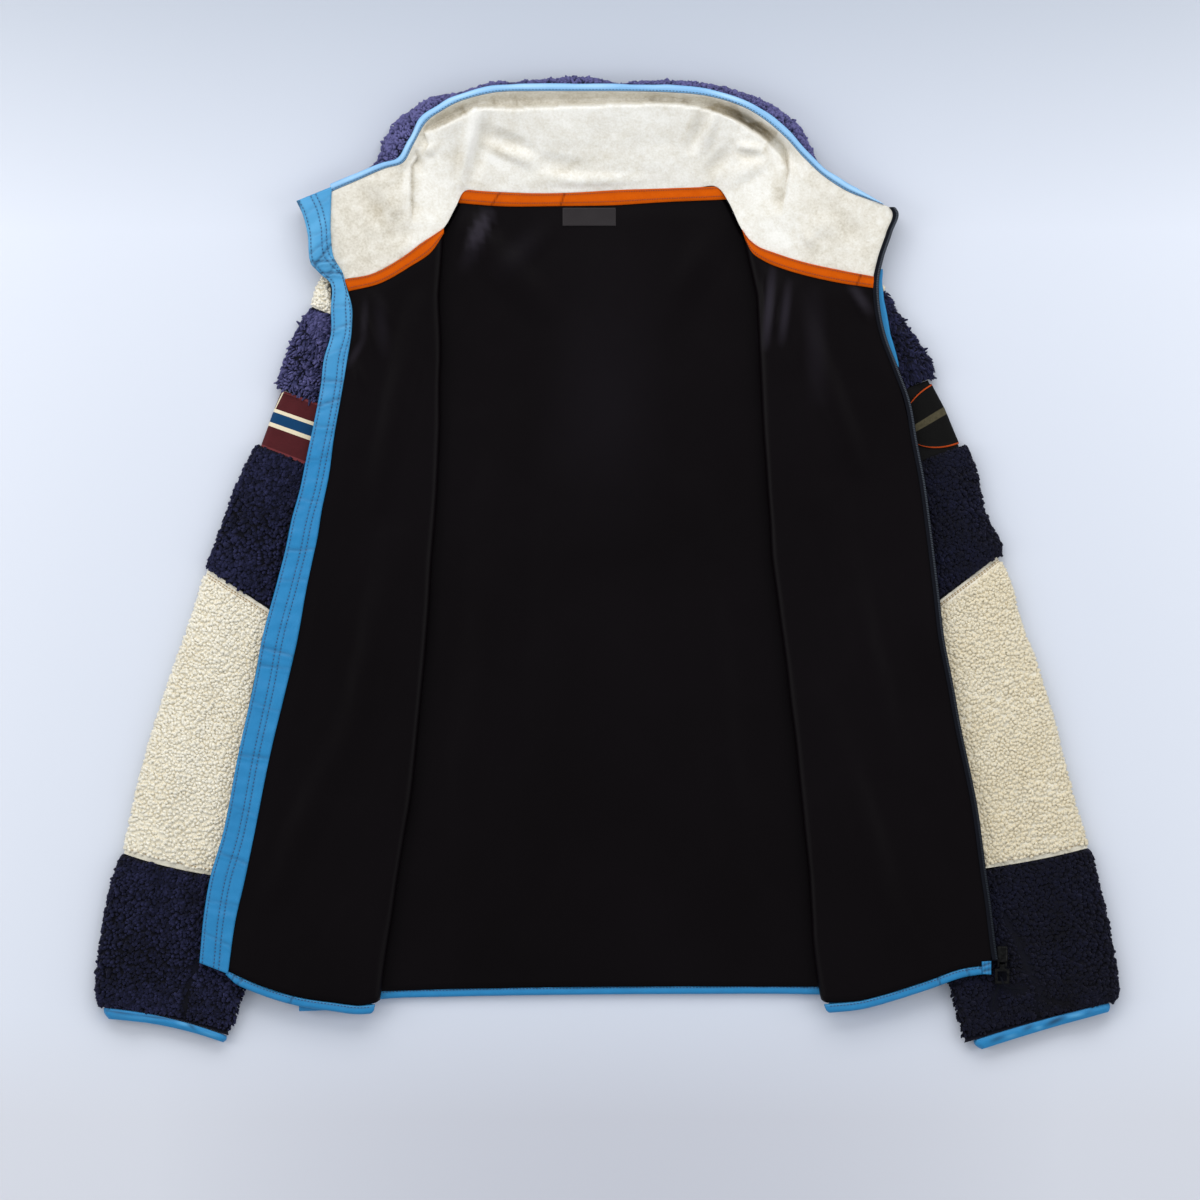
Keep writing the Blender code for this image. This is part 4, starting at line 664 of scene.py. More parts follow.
class Finish:
    """A material that is put together from nodes."""

    def __init__(self, name, roughness=0.8, metallic=0.0, sheen=0.0, sheen_tint=(1, 1, 1), specular=0.5):
        self.material = bpy.data.materials.new(name)
        self.material.use_nodes = True
        self.tree = self.material.node_tree
        self.shader = self.tree.nodes["Principled BSDF"]
        for key, value in {
            "Roughness": roughness, "Metallic": metallic, "Sheen Weight": sheen, "Sheen Roughness": 0.45,
            "Sheen Tint": (*sheen_tint, 1), "Specular IOR Level": specular,
        }.items():  # fmt: skip
            self.shader.inputs[key].default_value = value

    def node(self, kind, settings=None, sockets=None, out=0):
        made_node = self.tree.nodes.new(kind)
        for key, value in (settings or {}).items():
            setattr(made_node, key, value)
        for key, value in (sockets or {}).items():
            self.feed(made_node.inputs[key], value)
        return Value(self, made_node.outputs[out])

    def feed(self, socket, value):
        if isinstance(value, Value):
            self.tree.links.new(value.socket, socket)
        elif isinstance(value, tuple) and len(value) == 3 and socket.type == "RGBA":
            socket.default_value = (*value, 1)
        else:
            socket.default_value = value

    def place(self):
        """Each point's place in the object, in metres."""
        return self.node("ShaderNodeTexCoord", out="Object")

    def part_of(self, vector, axis):
        return self.node("ShaderNodeSeparateXYZ", sockets={0: vector}, out=axis)

    def mark(self, name):
        """A number that the mesh carries."""
        return self.node("ShaderNodeAttribute", {"attribute_name": name}, out="Fac")

    def noise(self, where, scale, detail, roughness=0.5, stretch=None):
        if stretch:
            where = self.node("ShaderNodeMapping", sockets={"Vector": where, "Scale": stretch})
        sockets = {"Vector": where, "Scale": scale, "Detail": detail, "Roughness": roughness}
        return self.node("ShaderNodeTexNoise", sockets=sockets, out="Fac")

    def shades(self, share, *stops):
        """Colours along a share from 0 to 1: pairs of share and colour."""
        picker = self.tree.nodes.new("ShaderNodeValToRGB")
        band = picker.color_ramp
        while len(band.elements) < len(stops):
            band.elements.new(0.5)
        for element, (at, colour) in zip(band.elements, stops):
            element.position, element.color = at, (*colour, 1)
        self.feed(picker.inputs[0], share)
        return Value(self, picker.outputs[0])

    def mixed(self, share, first, second):
        return self.node("ShaderNodeMix", {"data_type": "RGBA"}, {0: share, 6: first, 7: second}, out=2)

    def colour(self, value):
        self.feed(self.shader.inputs["Base Color"], value)

    def rough(self, value):
        self.feed(self.shader.inputs["Roughness"], value)

    def relief(self, height, distance, strength):
        """Raises the surface in the shading by up to this many millimetres."""
        sockets = {"Height": height, "Distance": distance * MM, "Strength": strength}
        self.feed(self.shader.inputs["Normal"], self.node("ShaderNodeBump", sockets=sockets))


def pile_finish(name, gaps, body, tips, bright, sheen, sheen_tint):
    """Curled pile: shade painted between the curls and light painted on their tips, with fine fibre on each."""
    cloth = Finish(name, roughness=0.9, sheen=sheen, sheen_tint=sheen_tint, specular=0.2)
    place = cloth.place()
    patches = cloth.noise(place, 28.0, 3.0)
    fibre = cloth.noise(place, 900.0, 2.0, 0.6)
    # Painted shade and light: the pile mark runs from the shaded roots to the lit tips.
    height = cloth.mark("pile") * 0.45 + (fibre - 0.5) * 0.22 + (patches - 0.5) * 0.25
    cloth.colour(cloth.shades(height, (0.04, gaps), (0.25, body), (0.475, tips), (1.0, bright)))
    cloth.relief(fibre, 0.6, 0.7)
    return cloth.material


def lining_finish():
    """Smooth black knit with a soft shine where it rises, and sheen painted in streaks where it is pulled tight."""
    cloth = Finish("black_jersey", roughness=0.42, specular=0.065)
    place = cloth.place()
    ribs = cloth.noise(place, 1500.0, 1.0, 0.5, stretch=(1.0, 0.35, 1.0))
    wear = cloth.noise(place, 6.0, 3.0)
    base = cloth.shades(wear, (0.3, (0.0013, 0.0005, 0.0010)), (0.7, (0.0022, 0.0012, 0.0020)))
    # Painted sheen: the lining is mixed towards a lighter colour along its streaks.
    cloth.colour(cloth.mixed(cloth.mark("painted_sheen"), base, (0.020, 0.017, 0.024)))
    cloth.relief(ribs, 0.12, 0.5)
    return cloth.material


def microfleece_finish():
    """Off-white brushed fleece with a short nap that lies a little unevenly, and shade painted where it is marked."""
    cloth = Finish("hood_microfleece", roughness=0.95, sheen=0.15, sheen_tint=(1.0, 0.96, 0.88), specular=0.15)
    place = cloth.place()
    nap = cloth.noise(place, 480.0, 3.0, 0.65)
    knots = cloth.noise(place, 130.0, 2.0, 0.6)
    strokes = cloth.noise(place, 40.0, 2.0)
    tone = nap * 0.45 + knots * 0.35 + strokes * 0.2
    # Painted shade behind the ridge, in folds and hollows and towards both ends; painted light where the mark is
    # negative.
    tone = tone - cloth.mark("behind") * 0.17
    stops = [(0.0, (0.34, 0.29, 0.20)), (0.36, (0.645, 0.615, 0.54))]
    stops += [(0.58, (0.77, 0.76, 0.715)), (0.85, (0.88, 0.87, 0.84))]
    cloth.colour(cloth.shades(tone, *stops))
    cloth.relief(nap * 0.5 + knots * 0.5, 1.0, 0.55)
    return cloth.material


def woven_finish(name, colour, shade, roughness=0.62, threads=1700.0, specular=0.2, painted_light=(0.5, 0.5, 0.5)):
    """Plain woven tape or binding: fine threads, and small changes of tone where it puckers. Shade is painted in its
    creases and seams, and highlights where it is marked to catch the light.
    """
    cloth = Finish(name, roughness=roughness, specular=specular)
    place = cloth.place()
    threads_across = cloth.noise(place, threads, 1.0, 0.4, stretch=(1.0, 0.3, 1.0))
    threads_along = cloth.noise(place, threads, 1.0, 0.4, stretch=(0.3, 1.0, 1.0))
    weave = (threads_across + threads_along) * 0.5
    handling = cloth.noise(place, 55.0, 3.0, 0.6)
    base = cloth.mixed(weave * 0.5 + handling * 0.5, shade, colour)
    # Painted highlight where the mesh is marked.
    base = cloth.mixed(cloth.mark("painted_light"), base, painted_light)
    # Painted shade in creases and seams: darker where the mesh is marked.
    cloth.colour(cloth.mixed(cloth.mark("crease_and_painted_shade"), base, tuple(0.35 * c for c in shade)))
    cloth.relief(weave * 0.6 + handling * 0.4, 0.3, 0.6)
    return cloth.material


def thread_finish(name, colour):
    """Twisted sewing thread."""
    thread = Finish(name, roughness=0.55, sheen=0.2)
    twist = thread.noise(thread.place(), 3200.0, 1.0)
    thread.colour(thread.mixed(twist, tuple(0.6 * c for c in colour), colour))
    return thread.material


def zip_finish():
    """Dull coil teeth, painted lighter towards the hood, where the light falls more, and darker towards the hem."""
    teeth = Finish("zip_teeth", roughness=0.5, specular=0.14)
    towards_hood = (teeth.part_of(teeth.place(), "Y") * 1.5 + 0.6).maximum(0.0).minimum(1.0)
    teeth.colour(teeth.mixed(towards_hood, (0.009, 0.013, 0.020), (0.068, 0.080, 0.100)))
    return teeth.material


def ribbon_finish():
    """Woven ribbon with a blue stripe between two cream lines on maroon."""
    cloth = Finish("striped_ribbon", roughness=0.55, specular=0.12)
    along = cloth.mark("down")
    place = cloth.place()
    ribs = cloth.noise(place, 1500.0, 1.0, 0.4, stretch=(0.3, 1.0, 1.0))
    maroon = cloth.mixed(ribs, (0.050, 0.006, 0.008), (0.100, 0.013, 0.017))
    cream, blue = (0.70, 0.62, 0.45), (0.002, 0.040, 0.115)
    lined = (along > 0.34) * (along < 0.64)
    striped = (along > 0.40) * (along < 0.575)
    edge = cloth.mark("round") + along * 6.0
    lined = lined.maximum((edge > 3.8) * (edge < 5.5))
    worn = cloth.mixed(cloth.noise(place, 60.0, 2.0), maroon, (0.050, 0.006, 0.008))
    piped = cloth.mixed((along < 0.04).maximum(along > 0.955), worn, (0.150, 0.028, 0.032))
    cloth.colour(cloth.mixed(striped, cloth.mixed(lined, piped, cream), blue))
    cloth.relief(ribs, 0.2, 0.5)
    return cloth.material


def badge_finish():
    """Tightly woven black patch with a thin orange rim."""
    cloth = Finish("badge_cloth", roughness=0.7, specular=0.10)
    rim = cloth.mark("rim")
    place = cloth.place()
    weave = cloth.noise(place, 1900.0, 1.0, 0.4, stretch=(0.4, 1.0, 1.0))
    black = cloth.mixed(weave, (0.0004, 0.0004, 0.0004), (0.0032, 0.0030, 0.0028))
    edge = cloth.mixed(weave, (0.30, 0.032, 0.004), (0.50, 0.075, 0.010))
    stripe = (cloth.mark("high").absolute() < 0.095) * (rim < 0.9)
    faded = cloth.mixed(cloth.noise(place, 420.0, 2.0), (0.030, 0.026, 0.014), (0.090, 0.078, 0.045))
    cloth.colour(cloth.mixed(rim > 0.955, cloth.mixed(stripe, black, faded), edge))
    cloth.relief(weave, 0.2, 0.6)
    return cloth.material


def metal_finish():
    """Black painted die-cast metal, rubbed a little brighter in places."""
    metal = Finish("dark_metal", roughness=0.36, metallic=0.9, specular=0.5)
    rub = metal.noise(metal.place(), 420.0, 3.0, 0.6)
    metal.colour(metal.shades(rub, (0.35, (0.004, 0.004, 0.004)), (0.75, (0.018, 0.018, 0.018))))
    metal.rough(rub * 0.25 + 0.25)
    metal.relief(rub, 0.05, 0.4)
    return metal.material


def floor_finish():
    """Smooth light blue-grey studio surface, with painted light and shade: lighter to the sides and darker beyond the
    hem and the hood.
    """
    board = Finish("floor", roughness=0.9, specular=0.1)
    place = board.place()
    across, along = board.part_of(place, "X"), board.part_of(place, "Y")
    # Painted light: lighter towards the sides.
    edge = (across * across * 1.6 + along * along * 0.3).minimum(1.0)
    painted_light = board.mixed(edge, (0.585, 0.625, 0.71), (0.735, 0.77, 0.845))
    # Painted shade: darker in front of the hem, and darker and bluer beyond the hood.
    front = board.mixed((across * across * 6.0).minimum(1.0), (0.51, 0.52, 0.575), (0.625, 0.64, 0.695))
    beyond_hem = (along * -7.5 - 3.0).maximum(0.0).minimum(0.75)
    beyond_hood = (along * 1.4 - 0.42).maximum(0.0).minimum(0.4)
    board.colour(board.mixed(beyond_hood, board.mixed(beyond_hem, painted_light, front), (0.0, 0.035, 0.07)))
    return board.material


navy = pile_finish(
    "navy_pile", (0.0005, 0.0006, 0.0022), (0.0024, 0.0034, 0.0155), (0.0180, 0.020, 0.064), (0.118, 0.114, 0.275),
    0.10, (0.45, 0.42, 0.75),
)  # fmt: skip
cream = pile_finish(
    "cream_pile", (0.70, 0.625, 0.46), (0.78, 0.735, 0.61), (0.83, 0.795, 0.69), (0.87, 0.84, 0.755),
    0.05, (1.0, 0.96, 0.88),
)  # fmt: skip
black = lining_finish()
fleece_white = microfleece_finish()
blue = woven_finish(
    "blue_trim", (0.013, 0.232, 0.50), (0.008, 0.150, 0.36), 0.5, specular=0.35, painted_light=(0.085, 0.345, 0.61)
)
hood_blue = woven_finish(
    "hood_trim", (0.22, 0.46, 0.74), (0.12, 0.32, 0.59), 0.45, specular=0.5, painted_light=(0.42, 0.66, 0.86)
)
orange = woven_finish("orange_tape", (0.64, 0.108, 0.0), (0.40, 0.054, 0.0), specular=0.05, painted_light=(0.75, 0.22, 0.03))
tape_navy = woven_finish("zip_tape", (0.0050, 0.0062, 0.011), (0.0018, 0.0022, 0.004), specular=0.07)
ribbon_black = woven_finish("dark_ribbon", (0.005, 0.0048, 0.005), (0.0015, 0.0015, 0.0015), specular=0.10)
label_cloth = woven_finish("label_cloth", (0.020, 0.016, 0.018), (0.010, 0.008, 0.009), 0.5, 2400.0)
blue_thread = thread_finish("blue_thread", (0.004, 0.048, 0.15))
orange_thread = thread_finish("orange_thread", (0.20, 0.018, 0.001))
teeth_finish = zip_finish()
cream_thread = thread_finish("cream_thread", (0.50, 0.36, 0.19))
ribbon = ribbon_finish()
badge_cloth = badge_finish()
metal = metal_finish()

# ---------------------------------------------------------------- camera, floor and light


def placed(name, data, place):
    thing = bpy.data.objects.new(name, data)
    thing.location = place
    bpy.context.scene.collection.objects.link(thing)
    return thing


def studio():
    """The camera looks straight down, between three large soft lamps."""
    camera = placed("camera", bpy.data.cameras.new("camera"), CAMERA_PLACE)
    camera.data.lens, camera.data.sensor_width = CAMERA_LENS, 36
    camera.data.clip_end = 20
    bpy.context.scene.camera = camera

    mesh = bpy.data.meshes.new("floor")
    corners = [(x * FLOOR_REACH, y * FLOOR_REACH, 0) for x, y in ((-1, -1), (1, -1), (1, 1), (-1, 1))]
    mesh.from_pydata(corners, [], [(0, 1, 2, 3)])
    mesh.materials.append(floor_finish())
    placed("floor", mesh, (0, 0, FLOOR_Z))

    for name, (place, size, power) in LAMPS.items():
        lamp = placed(name, bpy.data.lights.new(name, "AREA"), place)
        lamp.data.shape = "RECTANGLE"
        lamp.data.size, lamp.data.size_y = size
        lamp.data.energy = power
        lamp.data.color = (1.0, 0.99, 0.98)
        lamp.rotation_euler = (-lamp.location).to_track_quat("-Z", "Y").to_euler()
    world = bpy.data.worlds.new("studio")
    bpy.context.scene.world = world
    world.use_nodes = True
    world.node_tree.nodes["Background"].inputs["Color"].default_value = (0.93, 0.96, 1.0, 1)
    world.node_tree.nodes["Background"].inputs["Strength"].default_value = 0.62
    bpy.context.scene.view_settings.view_transform = "Standard"


# ---------------------------------------------------------------- body


def neck_seam():
    """The line of the neck seam, and the width of the tape along it."""
    table = hood_sections()
    return np.stack([table["seam_x"], table["seam_y"]], axis=1), table["tape"]


def room_for_folds(grid, west, east):
    """1 well inside the open part of a panel and 0 near its edges."""
    x, y = grid[..., 0], grid[..., 1]
    seam, tape = neck_seam()
    from_neck = np.interp(x, seam[:, 0], seam[:, 1] - tape) - y - 1.0
    from_sides = np.minimum(x - x_at(west, y), x_at(east, y) - x) - 3
    return ramp(np.minimum(from_sides, np.minimum(from_neck, y - PANEL_HEM)), 9.0)


def filled(line, count):
    """The line with points added in the middle of its longest stretches until it has this many."""
    line = [np.array(point, float) for point in line]
    while len(line) < count:
        stretches = [np.linalg.norm(b - a) for a, b in zip(line, line[1:])]
        k = int(np.argmax(stretches))
        line.insert(k + 1, (line[k] + line[k + 1]) / 2)
    return np.array(line)


def slack(grid, seed):
    """Small uneven waves of cloth that lies loose."""
    x, y = grid[..., 0], grid[..., 1]
    return 0.5 * drift(x, y * 0.45, 26, seed) + 0.22 * drift(x, y * 0.5, 9, seed + 2)


def loose(grid, folds, seed, west, east):
    """How far the open cloth of a panel lifts in its folds and in small waves."""
    return np.maximum((folds_at(grid, folds) + slack(grid, seed) + 0.4) * room_for_folds(grid, west, east), 0)


def back():
    seam, _ = neck_seam()
    top = moved_aside(seam, 0.4)
    top[0], top[-1] = LEFT_SIDE[0], RIGHT_SIDE[0]
    top = even_line(top, 90)
    hem = even_line(np.array(BACK_HEM, float) + np.array([0, GAP]), 90)
    grid = panel(even_line(LEFT_SIDE, 120), even_line(RIGHT_SIDE, 120), top, hem)
    rise = loose(grid, BACK_FOLDS, 3, LEFT_FOLD, RIGHT_FOLD)
    upper = at_height(grid, BACK_LINING_TOP + rise)
    # Sheen painted in streaks on the back lining.
    marks = {"painted_sheen": folds_at(grid, STREAKS)}
    piece = cloth_between("back_lining_cloth", upper, at_height(grid, BACK_TOP + GAP + rise), black, marks=marks)
    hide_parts("back_lining")

    coarse = grid[::3, ::3]
    hills = 0.4 + 0.1 * drift(coarse[..., 0], coarse[..., 1], 9.0, 5)
    piece = cloth_between(
        "back_fleece", at_height(coarse, BACK_TOP), at_height(coarse, 0.3 * hills), navy, marks={"pile": hills}
    )
    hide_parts("back_outer")


def front(side):
    """One front: it runs from the side seam over the back, turns over at the fold and lies open."""
    left = side == "left"
    sign = -1 if left else 1
    top = moved_aside(neck_seam()[0], 0.4)
    if left:
        edge = [(PLACKET[k][0] + UNDERLAP, PLACKET[k][1]) for k in LEFT_EDGE_ROWS]
        side_line, fold_line, top = LEFT_SIDE, LEFT_FOLD, top[LEFT_NECK]
        under_edge, over_edge = LEFT_UNDER_HEM, LEFT_OVER_HEM
        open_between = [row[2:] for row in PLACKET], fold_line
    else:
        edge = [(ZIP_OUTER[k][0] - UNDERLAP, ZIP_OUTER[k][1]) for k in RIGHT_EDGE_ROWS] + [ZIP_END]
        side_line, fold_line, top = RIGHT_SIDE, RIGHT_FOLD, top[RIGHT_NECK][::-1]
        under_edge, over_edge = RIGHT_UNDER_HEM, RIGHT_OVER_HEM
        open_between = fold_line, [(x - ZIP_WIDTH, y) for x, y in ZIP_OUTER]

    fold = smooth_line(fold_line, len(edge)) + np.array([sign * LINING_RADIUS, 0])
    for _ in range(4):
        share = (x_at(fold, top[-1, 1]) - top[-2, 0]) / (top[-1, 0] - top[-2, 0])
        top[-1] = top[-2] + share * (top[-1] - top[-2])
    under_top = filled([side_line[0], *top[2:]], len(top))
    under_hem = np.array(under_edge, float) + np.array([0, GAP])
    over_hem = np.array([edge[-1]] + over_edge, float) + np.array([0, GAP])
    under_hem[-1] = over_hem[-1] = fold[-1]

    fine_rows, over_cols, under_cols = 121, 50, 6
    fold_fine = even_line(fold, fine_rows)
    under = panel(
        even_line(side_line, fine_rows), fold_fine, even_line(under_top, under_cols), even_line(under_hem, under_cols)
    )
    over_hem = np.concatenate([over_hem[:1], smooth_line(over_hem[1:-1], 60) - np.array([0, 0.5]), over_hem[-1:]])
    over = panel(even_line(edge, fine_rows), fold_fine, even_line(top, over_cols), even_line(over_hem, over_cols))
    over = over[:, ::-1]
    rise = loose(over, FRONT_FOLDS, 8 if left else 9, *open_between)
    turns = np.radians(np.linspace(-80, 80, 11))
    swell = 0.5 * drift(under[:, -1:, 1], 0 * under[:, -1:, 1], 40, 21 + sign)
    pieces = (
        ("lining_cloth", "lining", black, "black_jersey", LINING_RADIUS, LINING_INNER_RADIUS),
        ("fleece", "outer", navy, "navy_pile", FLEECE_RADIUS, GAP / 2),
    )
    for name, node, finish, slot, *radii in pieces:
        faces = []
        for r in radii:
            bend_x = under[:, -1:, 0] - sign * (r + swell * (r / LINING_RADIUS)) * np.cos(turns)
            from_hem = under[:, -1:, 1] - under[-1:, -1:, 1]
            bend_y = under[:, -1:, 1] + 3.0 * np.exp(-from_hem / 5.0) * np.cos(turns) ** 2
            bend = np.stack([bend_x, bend_y, 0 * bend_x + FOLD_CENTRE + r * np.sin(turns)], axis=-1)
            lift = rise if node == "lining" else 0
            flat = at_height(over, FOLD_CENTRE + r + lift)
            faces.append(np.concatenate([at_height(under, FOLD_CENTRE - r), bend, flat], axis=1))
        if not left:
            faces = [face[:, ::-1] for face in faces]
        if node == "outer":
            faces = [face[::3, ::2] for face in faces]
        lies_open = ramp(faces[0][..., 2] - FOLD_CENTRE - 3)
        # The open lining gets sheen painted in streaks.
        marks = {"pile": 0.5 + 0 * lies_open} if node == "outer" else {"painted_sheen": folds_at(faces[0], STREAKS) * lies_open}
        piece = cloth_between(f"{side}_front_{name}", faces[0], faces[1], finish, marks=marks)
        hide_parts(f"{side}_front_{node}")


# ---------------------------------------------------------------- bindings and tapes


def bar(
    name, edge, other_edge, low, high, finish, crown, cols=9, pucker=0.12, seed=1, step=2.0, opened=False,
    creases=(), end=0.0, sewn=(), lit=0.0,
):  # fmt: skip
    """Binding or tape between two edges, rounded along its middle and slightly puckered. creases are places along it
    where it folds a little and shade is painted, end is the radius of a rounded last corner, sewn gives the shares of
    its width where a seam pulls it in and shade is painted along the seam, and lit is how strong a highlight is painted
    along its first edge."""
    edge, other_edge = np.asarray(edge, float), np.asarray(other_edge, float)
    count = max(int(walked(edge)[-1] / step), 6)
    edge, other_edge = even_line(edge, count), even_line(other_edge, count)
    if end:
        left_over = ramp(end - (walked(edge)[-1] - walked(edge)), end)[:, None]
        other_edge = edge + (other_edge - edge) * np.sqrt(np.clip(1 - left_over**2, 0.02, 1))
    across = np.linspace(0, 1, cols)
    top = at_height(between(edge, other_edge, across), high)
    bottom = at_height(top, low)
    reach = walked(edge)[:, None] + 0 * across[None]
    width = np.linalg.norm(other_edge - edge, axis=1)[:, None] * across[None]
    round_off = np.sqrt(ramp(1 - (2 * across - 1) ** 2))[None]
    top[..., 2] += -crown * (1 - round_off) + pucker * drift(width * 0.5, reach, 5.0, seed) * round_off
    # Shade painted along the seams and, below, in the creases.
    painted_shade = sum(0.38 * bell(across[None] - at, 0.10) for at in sewn) + 0 * reach
    for at in creases:
        near = reach + width * 0.3 - at
        painted_shade += 0.75 * bell(near, 0.9)
        top[..., 2] += 0.7 * (bell(near - 2.2, 1.4) - bell(near, 1.1)) * round_off
    bottom[..., 2] = np.minimum(bottom[..., 2], top[..., 2] - 0.2)
    # A highlight painted along the first edge.
    painted_light = lit * bell(across[None], 0.13) + 0 * reach
    along, marks = np.stack([width, reach], axis=-1), {"crease_and_painted_shade": painted_shade, "painted_light": painted_light}
    return cloth_between(name, top, bottom, finish, along=along, marks=marks, opened=opened), top


def bindings():
    back_edge = smooth_line(BACK_HEM, 60) + np.array([0, 1.3])
    jobs = [
        ("hem_binding_back", back_edge, BINDING_WIDTH, 0.0, BACK_LINING_TOP, 1.6, (0.535, 0.021)),
        ("hem_binding_left_over", LEFT_OVER_HEM, BINDING_WIDTH, 13.6, TRIM_BOTTOM, 2.0, (0.14, 0.021)),
        ("hem_binding_right_over", RIGHT_OVER_HEM, -BINDING_WIDTH, 13.6, TRIM_BOTTOM, 2.0, (0.15, 0.021)),
        ("hem_binding_left_under", LEFT_UNDER_HEM, BINDING_WIDTH, 7.1, 13.3, 1.6, (0.07, 0.020)),
        ("hem_binding_right_under", RIGHT_UNDER_HEM, -BINDING_WIDTH, 7.1, 13.3, 1.6, (0.06, 0.020)),
    ]
    for k, (name, edge, width, low, high, crown, flat) in enumerate(jobs):
        edge = smooth_line(edge, 40)
        if name == "hem_binding_left_over":
            width = width * ramp(12 + walked(edge), 24)
        # Each hem binding gets a highlight painted along its first edge and shade painted in its seam and creases.
        piece, top = bar(
            f"{name}_cloth", edge, moved_aside(edge, width), low, high, blue, crown, pucker=0.45, seed=k + 2, step=1.5,
            opened=True, creases=HEM_CREASES.get(name, ()), end=5.0 if "over" in name else 0.0, sewn=(0.3,), lit=0.6,
        )  # fmt: skip
        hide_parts(name)
        thread = stitches(f"{name}_stitches", top[2:-3, 2], blue_thread, 1.7, 3.0, 0.42)
        if name == "hem_binding_right_over":
            tab, _ = bar(
                f"{name}_tab", *HEM_TAB, 13.6, TRIM_BOTTOM + 1.4, blue, 1.2, 15, 0.6, 8, 0.8, creases=(4, 9),
                sewn=(0.3, 0.72),
            )  # fmt: skip


def neck_tapes():
    for name, low, flat in (
        ("neck_tape_back", BACK_LINING_TOP + GAP, (0.24, 0.012)),
        ("neck_tape_left", TRIM_BOTTOM, (0.105, 0.010)),
        ("neck_tape_right", TRIM_BOTTOM, (0.14, 0.010)),
    ):
        upper, lower = (smooth_line(line, 90) for line in NECK_TAPES[name])
        piece, top = bar(
            f"{name}_cloth", upper, lower, low, low + TRIM, orange, 0.5, 9, 0.5, 4, 1.3, creases=TAPE_CREASES[name],
            sewn=(0.15, 0.8),
        )  # fmt: skip
        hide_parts(name)
        threads = [stitches(f"{name}_stitches_{k}", top[2:-2, k], orange_thread, 1.4, 2.2, 0.34) for k in (1, -3)]


def placket():
    rows = np.insert(np.array(PLACKET, float), 4, PLACKET_CORNER, axis=0)
    outer, inner = smooth_line(rows[:, :2], 360), smooth_line(rows[:, 2:], 360)
    across = np.linspace(0, 1, 23)
    flat = between(outer, inner, across)
    reach = walked((outer + inner) / 2)[:, None] + 0 * across[None]
    width = np.linalg.norm(inner - outer, axis=1)[:, None] * across[None]
    ripples = 0.8 * drift(width * 0.28 + 0.4 * reach, reach, 9.0, 31) + 0.6 * drift(width * 0.15, reach, 21.0, 33)
    ripples += 0.3 * drift(width * 0.6, reach, 3.6, 35)
    rounded = np.sqrt(ramp(np.minimum(width, width[:, -1:] - width), 1.2))
    kink = bell(reach - PLACKET_KINK, np.where(reach < PLACKET_KINK, 2.0, 11.0))
    seams = sum(bell(width - at, 1.0) for at in PLACKET_SEWN)
    lift = ripples + 0.8 + 2.8 * kink * (0.5 + 0.5 * across)[None] - 0.5 * seams
    # Shade painted in the placket's seams, its creases and the fold at its tip.
    painted_shade = 0.25 * seams + folds_at(flat, PLACKET_TIP)
    for at, slant, rise in PLACKET_CREASES:
        near = reach + slant * across[None] - at
        painted_shade += 0.42 * rise * bell(near, 1.3)
        lift += rise * (bell(near - 2.5, 1.6) - bell(near, 1.4))
    top = at_height(flat, TRIM_TOP - 0.6 * (1 - rounded) + lift * rounded)
    # Painted light: the placket is lighter towards the hood, where the light falls more.
    painted_light = ramp(flat[..., 1] - 90, 170) * (0.75 + 0.25 * drift(width, reach, 14.0, 37))
    marks = {"crease_and_painted_shade": np.clip(painted_shade, 0, 0.9), "painted_light": painted_light}
    piece = cloth_between("placket_cloth", top, at_height(flat, TRIM_BOTTOM), blue, marks=marks)
    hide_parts("placket")
    for k, at in enumerate(PLACKET_SEWN):
        place = np.clip(at / width[:, -1], 0, 0.9) * (len(across) - 1)
        line = in_grid(top, np.arange(len(top)), place)
        stitches(f"placket_stitches_{k}", line, blue_thread, 1.7, 3.3, 0.46)
    edge = np.array(PLACKET, float)[list(LEFT_EDGE_ROWS), :2]
    zip_tape, _ = bar(
        "left_zip_tape_cloth", edge + np.array([12.0, 0]), edge + np.array([0.4, 0]), 15.45, 16.95, tape_navy, 0.1, 4
    )
    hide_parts("left_zip_tape")


def zip_side():
    outer = smooth_line([(259.5, 319.5), *ZIP_OUTER, (352, -357)], 430) - np.array([0.8, 0])
    inner = outer - np.array([ZIP_WIDTH, 0])
    piece, top = bar("right_zip_tape_cloth", inner, outer, TRIM_BOTTOM, TRIM_TOP, tape_navy, 0.6, 9, 0.15, 6)
    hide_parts("right_zip_tape")

    # Small teeth along the tape's outer edge.
    at = np.arange(1.5, walked(top[:, -3])[-1] - 1, 1.55)
    point, ahead, side = line_frames(top[:, -3], at)
    corners = []
    for z, grow in ((0.0, 1.0), (0.55, 1.0), (0.75, 0.7)):
        for a, b in ((-0.42, -0.9), (0.42, -0.9), (0.42, 0.9), (-0.42, 0.9)):
            corners.append(point + ahead * a * grow + side * b * grow + np.array([0, 0, z]))
    teeth = made("zip_teeth", np.stack(corners, axis=1), repeated(CLOSED_PEG, len(at)), teeth_finish)

    edge = even_line([(247.5, 264), *ZIP_OUTER[FACING]], 24)
    swell = 0.3 + 3.6 * np.sin(np.linspace(0, math.pi, len(edge))) ** 0.7
    to_air = edge + np.stack([swell, 0 * swell], axis=1)
    facing, _ = bar("right_zip_facing_cloth", edge - np.array([9.0, 0]), to_air, 15.45, 16.95, blue, 0.4, 7, 0.2, 5)
    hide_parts("right_zip_facing")

    for name in ("zip_slider", "zip_pull"):
        nodes[name].data.materials.clear()
        nodes[name].data.materials.append(metal)


